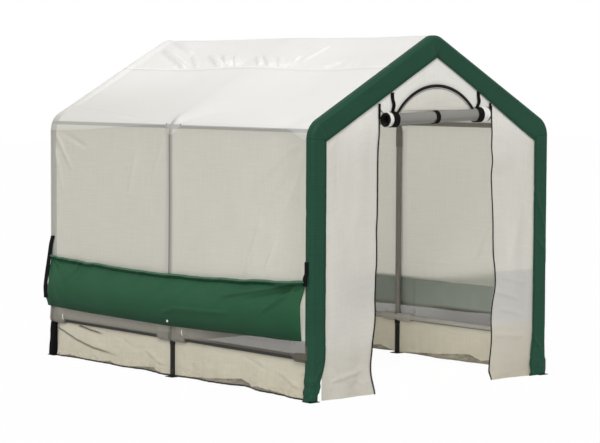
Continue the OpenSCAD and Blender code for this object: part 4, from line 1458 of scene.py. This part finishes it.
def row_recipe():
    """Small blocks at even steps along a path, turned to follow it."""
    inputs = {"Step": "Float", "Block": "Vector", "Outward": "Vector", "Material": "Material"}
    r = Recipe("row_along_path", inputs)
    curve = r.node("GeometryNodeMeshToCurve", None, {0: r.given["Path"]})
    sockets = {"Curve": curve.outputs[0], "Length": r.given["Step"]}
    points = r.node("GeometryNodeCurveToPoints", {"mode": "LENGTH"}, sockets)
    along = r.node("FunctionNodeAlignRotationToVector", {"axis": "X"}, {"Vector": points.outputs["Tangent"]})
    faced = r.node("FunctionNodeAlignRotationToVector", {"axis": "Z", "pivot_axis": "X"},
                   {"Rotation": along.outputs[0], "Vector": r.given["Outward"]})
    block = r.node("GeometryNodeMeshCube", None, {"Size": r.given["Block"]})
    rows = r.node("GeometryNodeInstanceOnPoints", None, {
        "Points": points.outputs[0], "Instance": block.outputs[0], "Rotation": faced.outputs[0],
    })
    return r.end(rows.outputs[0])


along_path = row_recipe()


def grown(recipe, name, paths, values):
    """The plain mesh that a recipe makes from paths of points."""
    points, edges = [], []
    for path in paths:
        start = len(points)
        points += [tuple(p) for p in path]
        edges += [(i, i + 1) for i in range(start, len(points) - 1)]
    mesh = bpy.data.meshes.new(f"{name}_path")
    mesh.from_pydata(points, edges, [])
    source = linked(bpy.data.objects.new(f"{name}_path", mesh))
    modifier = source.modifiers.new("rows", "NODES")
    modifier.node_group = recipe.tree
    for item in recipe.tree.interface.items_tree:
        if item.in_out == "INPUT" and item.name in values:
            modifier[item.identifier] = values[item.name]
    source.update_tag()
    made = bpy.data.meshes.new_from_object(source.evaluated_get(bpy.context.evaluated_depsgraph_get()))
    bpy.data.objects.remove(source)
    return linked(bpy.data.objects.new(name, made))


def row_piece(name, paths, step, size, outward, finish, slot):
    """A fitted piece of small blocks along paths."""
    values = {"Step": step, "Block": size, "Outward": outward, "Material": finish.material}
    fitted(grown(along_path, name, paths, values), slot)


# Door zips along the panels' edges, and the arcs of the gable vents

DOOR_TAPE_W, DOOR_TAPE_T, DOOR_TAPE_OUT = 0.0075, 0.0012, 0.0032
ZIP_END_W, ZIP_END_SHIFT, ZIP_END_OUT, ZIP_T = 0.016, 0.004, 0.004, 0.0014
TOOTH_STEP, TOOTH_L, TOOTH_W = 0.0032, 0.0019, 0.0055
DOOR_TOOTH_H, ARC_TOOTH_H = 0.0026, 0.0022
PULL_W, PULL_OUT = 0.010, 0.006
tapes, teeth = [], []
zip_z = spread(HEM + 0.002, DOOR_TOP, gap=0.02)
end_z = spread(DOOR_TOP - 0.07, DOOR_TOP + 0.016, gap=0.02)
for side in (LEFT, RIGHT):
    x = door_edge(side, zip_z)
    y = PANEL_Y + edge_swing(side, zip_z) - 0.004 * (1 - ease(zip_z, 0.0, 0.3)) - DOOR_TAPE_OUT
    path = stacked(x + side * DOOR_TAPE_W / 2, y, zip_z)
    tapes.append(strip(path, FRONTWARD, (1, 0, 0), DOOR_TAPE_W, DOOR_TAPE_T))
    teeth.append(path + np.array([-side * DOOR_TAPE_W / 2, -0.001, 0]))
    path = stacked(side * DOOR_HALF - ZIP_END_SHIFT, FRONT_Y - ZIP_END_OUT, end_z)
    tapes.append(strip(path, FRONTWARD, (1, 0, 0), ZIP_END_W, ZIP_T))
pull = stacked(DOOR_HALF - np.array([0.004, 0.040]), FRONT_Y - PULL_OUT, DOOR_TOP + np.array([0.012, -0.022]))
tapes.append(strip(pull, FRONTWARD, (0.7, 0, 0.7), PULL_W, ZIP_T))
fitted(strap_object("door_zip_tapes", tapes, zip_tape), "zip_plastic", "door_zips")
row_piece("door_zip_teeth", teeth, TOOTH_STEP, (TOOTH_L, TOOTH_W, DOOR_TOOTH_H), FRONTWARD, zip_black,
          "zip_plastic")

TAPE_W, TAPE_T, TAPE_BACK = 0.032, 0.0008, 0.001
ARC_OUT, ARC_TOOTH_OUT, ARC_STITCH_OUT, ARC_STITCH_IN = 0.0050, 0.0016, 0.0006, 0.002
ARC_R = VENT_R + ZIP_W / 2
arc_swing = math.asin(float(vent_half(np.array(VENT_LOW[2]), ZIP_W / 2)) / ARC_R) + 0.05
arc_turns = np.linspace(-arc_swing, arc_swing, 65)
arc_wide = stacked(np.sin(arc_turns), 0, np.cos(arc_turns))
arcs, pale_arcs, arc_rows, arc_teeth = [], [], [], []
for y, face in ((FRONT_Y, -1), (REAR_Y, 1)):
    outward_y = np.array([0, face, 0])
    path = np.array([0, y + face * ARC_OUT, VENT_CZ]) + ARC_R * arc_wide
    arcs.append(strip(path, outward_y, arc_wide, ZIP_W, ZIP_T))
    arc_teeth.append(path + outward_y * ARC_TOOTH_OUT)
    pale_arcs.append(strip(path - outward_y * TAPE_BACK, outward_y, arc_wide, TAPE_W, TAPE_T))
    arc_rows.append(path - arc_wide * (TAPE_W / 2 - ARC_STITCH_IN) + outward_y * ARC_STITCH_OUT)
fitted(strap_object("gable_zip_borders", pale_arcs, tape_cloth), "wall_fabric")
fitted(strap_object("gable_zip_tapes", arcs, zip_tape), "zip_plastic", "gable_vent_zips")
row_piece("gable_zip_teeth", arc_teeth, TOOTH_STEP, (TOOTH_L, TOOTH_W, ARC_TOOTH_H), FRONTWARD, zip_black,
          "zip_plastic")

# Stitches along hems and seams, and an eyelet in each flap

STITCH = (0.0050, 0.0013, 0.0012)
for name, paths, step, out, thread, slot in (
    ("trim_stitches", trim_rows, 0.008, FRONTWARD, green_thread, "green_fabric"),
    ("flap_stitches", flap_hems, 0.008, (-1, 0, 0), green_thread, "green_fabric"),
    ("seam_stitches", seam_rows, 0.010, (0, 0, 1), white_thread, "roof_fabric"),
    ("vent_stitches", arc_rows, 0.0056, FRONTWARD, grey_thread, "wall_fabric"),
):
    row_piece(name, paths, step, STITCH, out, thread, slot)


def ring_recipe():
    """A round ring at each point, facing sideways."""
    r = Recipe("ring_at_point", {"Radius": "Float", "Wire": "Float", "Material": "Material"})
    circle = r.node("GeometryNodeCurvePrimitiveCircle", None, {"Resolution": 24, "Radius": r.given["Radius"]})
    wire = r.node("GeometryNodeCurvePrimitiveCircle", None, {"Resolution": 8, "Radius": r.given["Wire"]})
    sockets = {"Curve": circle.outputs[0], "Profile Curve": wire.outputs[0]}
    ring = r.node("GeometryNodeCurveToMesh", None, sockets)
    rings = r.node("GeometryNodeInstanceOnPoints", None, {
        "Points": r.given["Path"], "Instance": ring.outputs[0], "Rotation": (0, math.pi / 2, 0),
    })
    return r.end(rings.outputs[0])


EYELET_R, EYELET_WIRE = 0.0055, 0.0030
flap_eyelets = grown(ring_recipe(), "flap_eyelets", [[p] for p in eyelets], {
    "Radius": EYELET_R, "Wire": EYELET_WIRE, "Material": white_plastic.material,
})
fitted(flap_eyelets, "green_fabric")

# Floor, world and lamp

FLOOR_HALF, FLOOR_WHITE = 40.0, 0.95
floor_finish = Finish("floor_white")
ray = floor_finish.term("ShaderNodeLightPath", None, None, "Is Camera Ray")
matt = floor_finish.surface({"Base Color": tone(250, 250, 250), "Roughness": 0.9})
white = floor_finish.node("ShaderNodeEmission", None, {"Color": (1, 1, 1, 1), "Strength": 1.0}).outputs[0]
floor_finish.end(floor_finish.either(ray * FLOOR_WHITE, matt, white))
floor_points = np.array([[-1, -1, 0], [1, -1, 0], [1, 1, 0], [-1, 1, 0]]) * FLOOR_HALF
floor = mesh_object("floor", floor_points, np.array([[0, 1, 2, 3]]), floor_finish)

LIGHT_STRENGTH = 0.32
world = bpy.data.worlds.new("studio")
world.use_nodes = True
bpy.context.scene.world = world
studio = Tree(world.node_tree)
light, seen = (
    studio.node("ShaderNodeBackground", None, {"Color": (1, 1, 1, 1), "Strength": strength}).outputs[0]
    for strength in (LIGHT_STRENGTH, 1.0)
)
rays = studio.node("ShaderNodeLightPath").outputs
shows = studio.math("MAXIMUM", rays["Is Camera Ray"], rays["Is Glossy Ray"])
shows = shows.math("MAXIMUM", rays["Is Transmission Ray"])
studio.node("ShaderNodeOutputWorld", None, {"Surface": studio.either(shows, light, seen)})

KEY_STRENGTH, KEY_SPREAD = 2.4, math.radians(30)
KEY_TOWARD = Vector((0.48, 0.56, -0.78))
lamp = bpy.data.lights.new("key_lamp", "SUN")
lamp.energy = KEY_STRENGTH
lamp.angle = KEY_SPREAD
key_lamp = linked(bpy.data.objects.new("key_lamp", lamp))
key_lamp.rotation_euler = KEY_TOWARD.to_track_quat("-Z", "Y").to_euler()
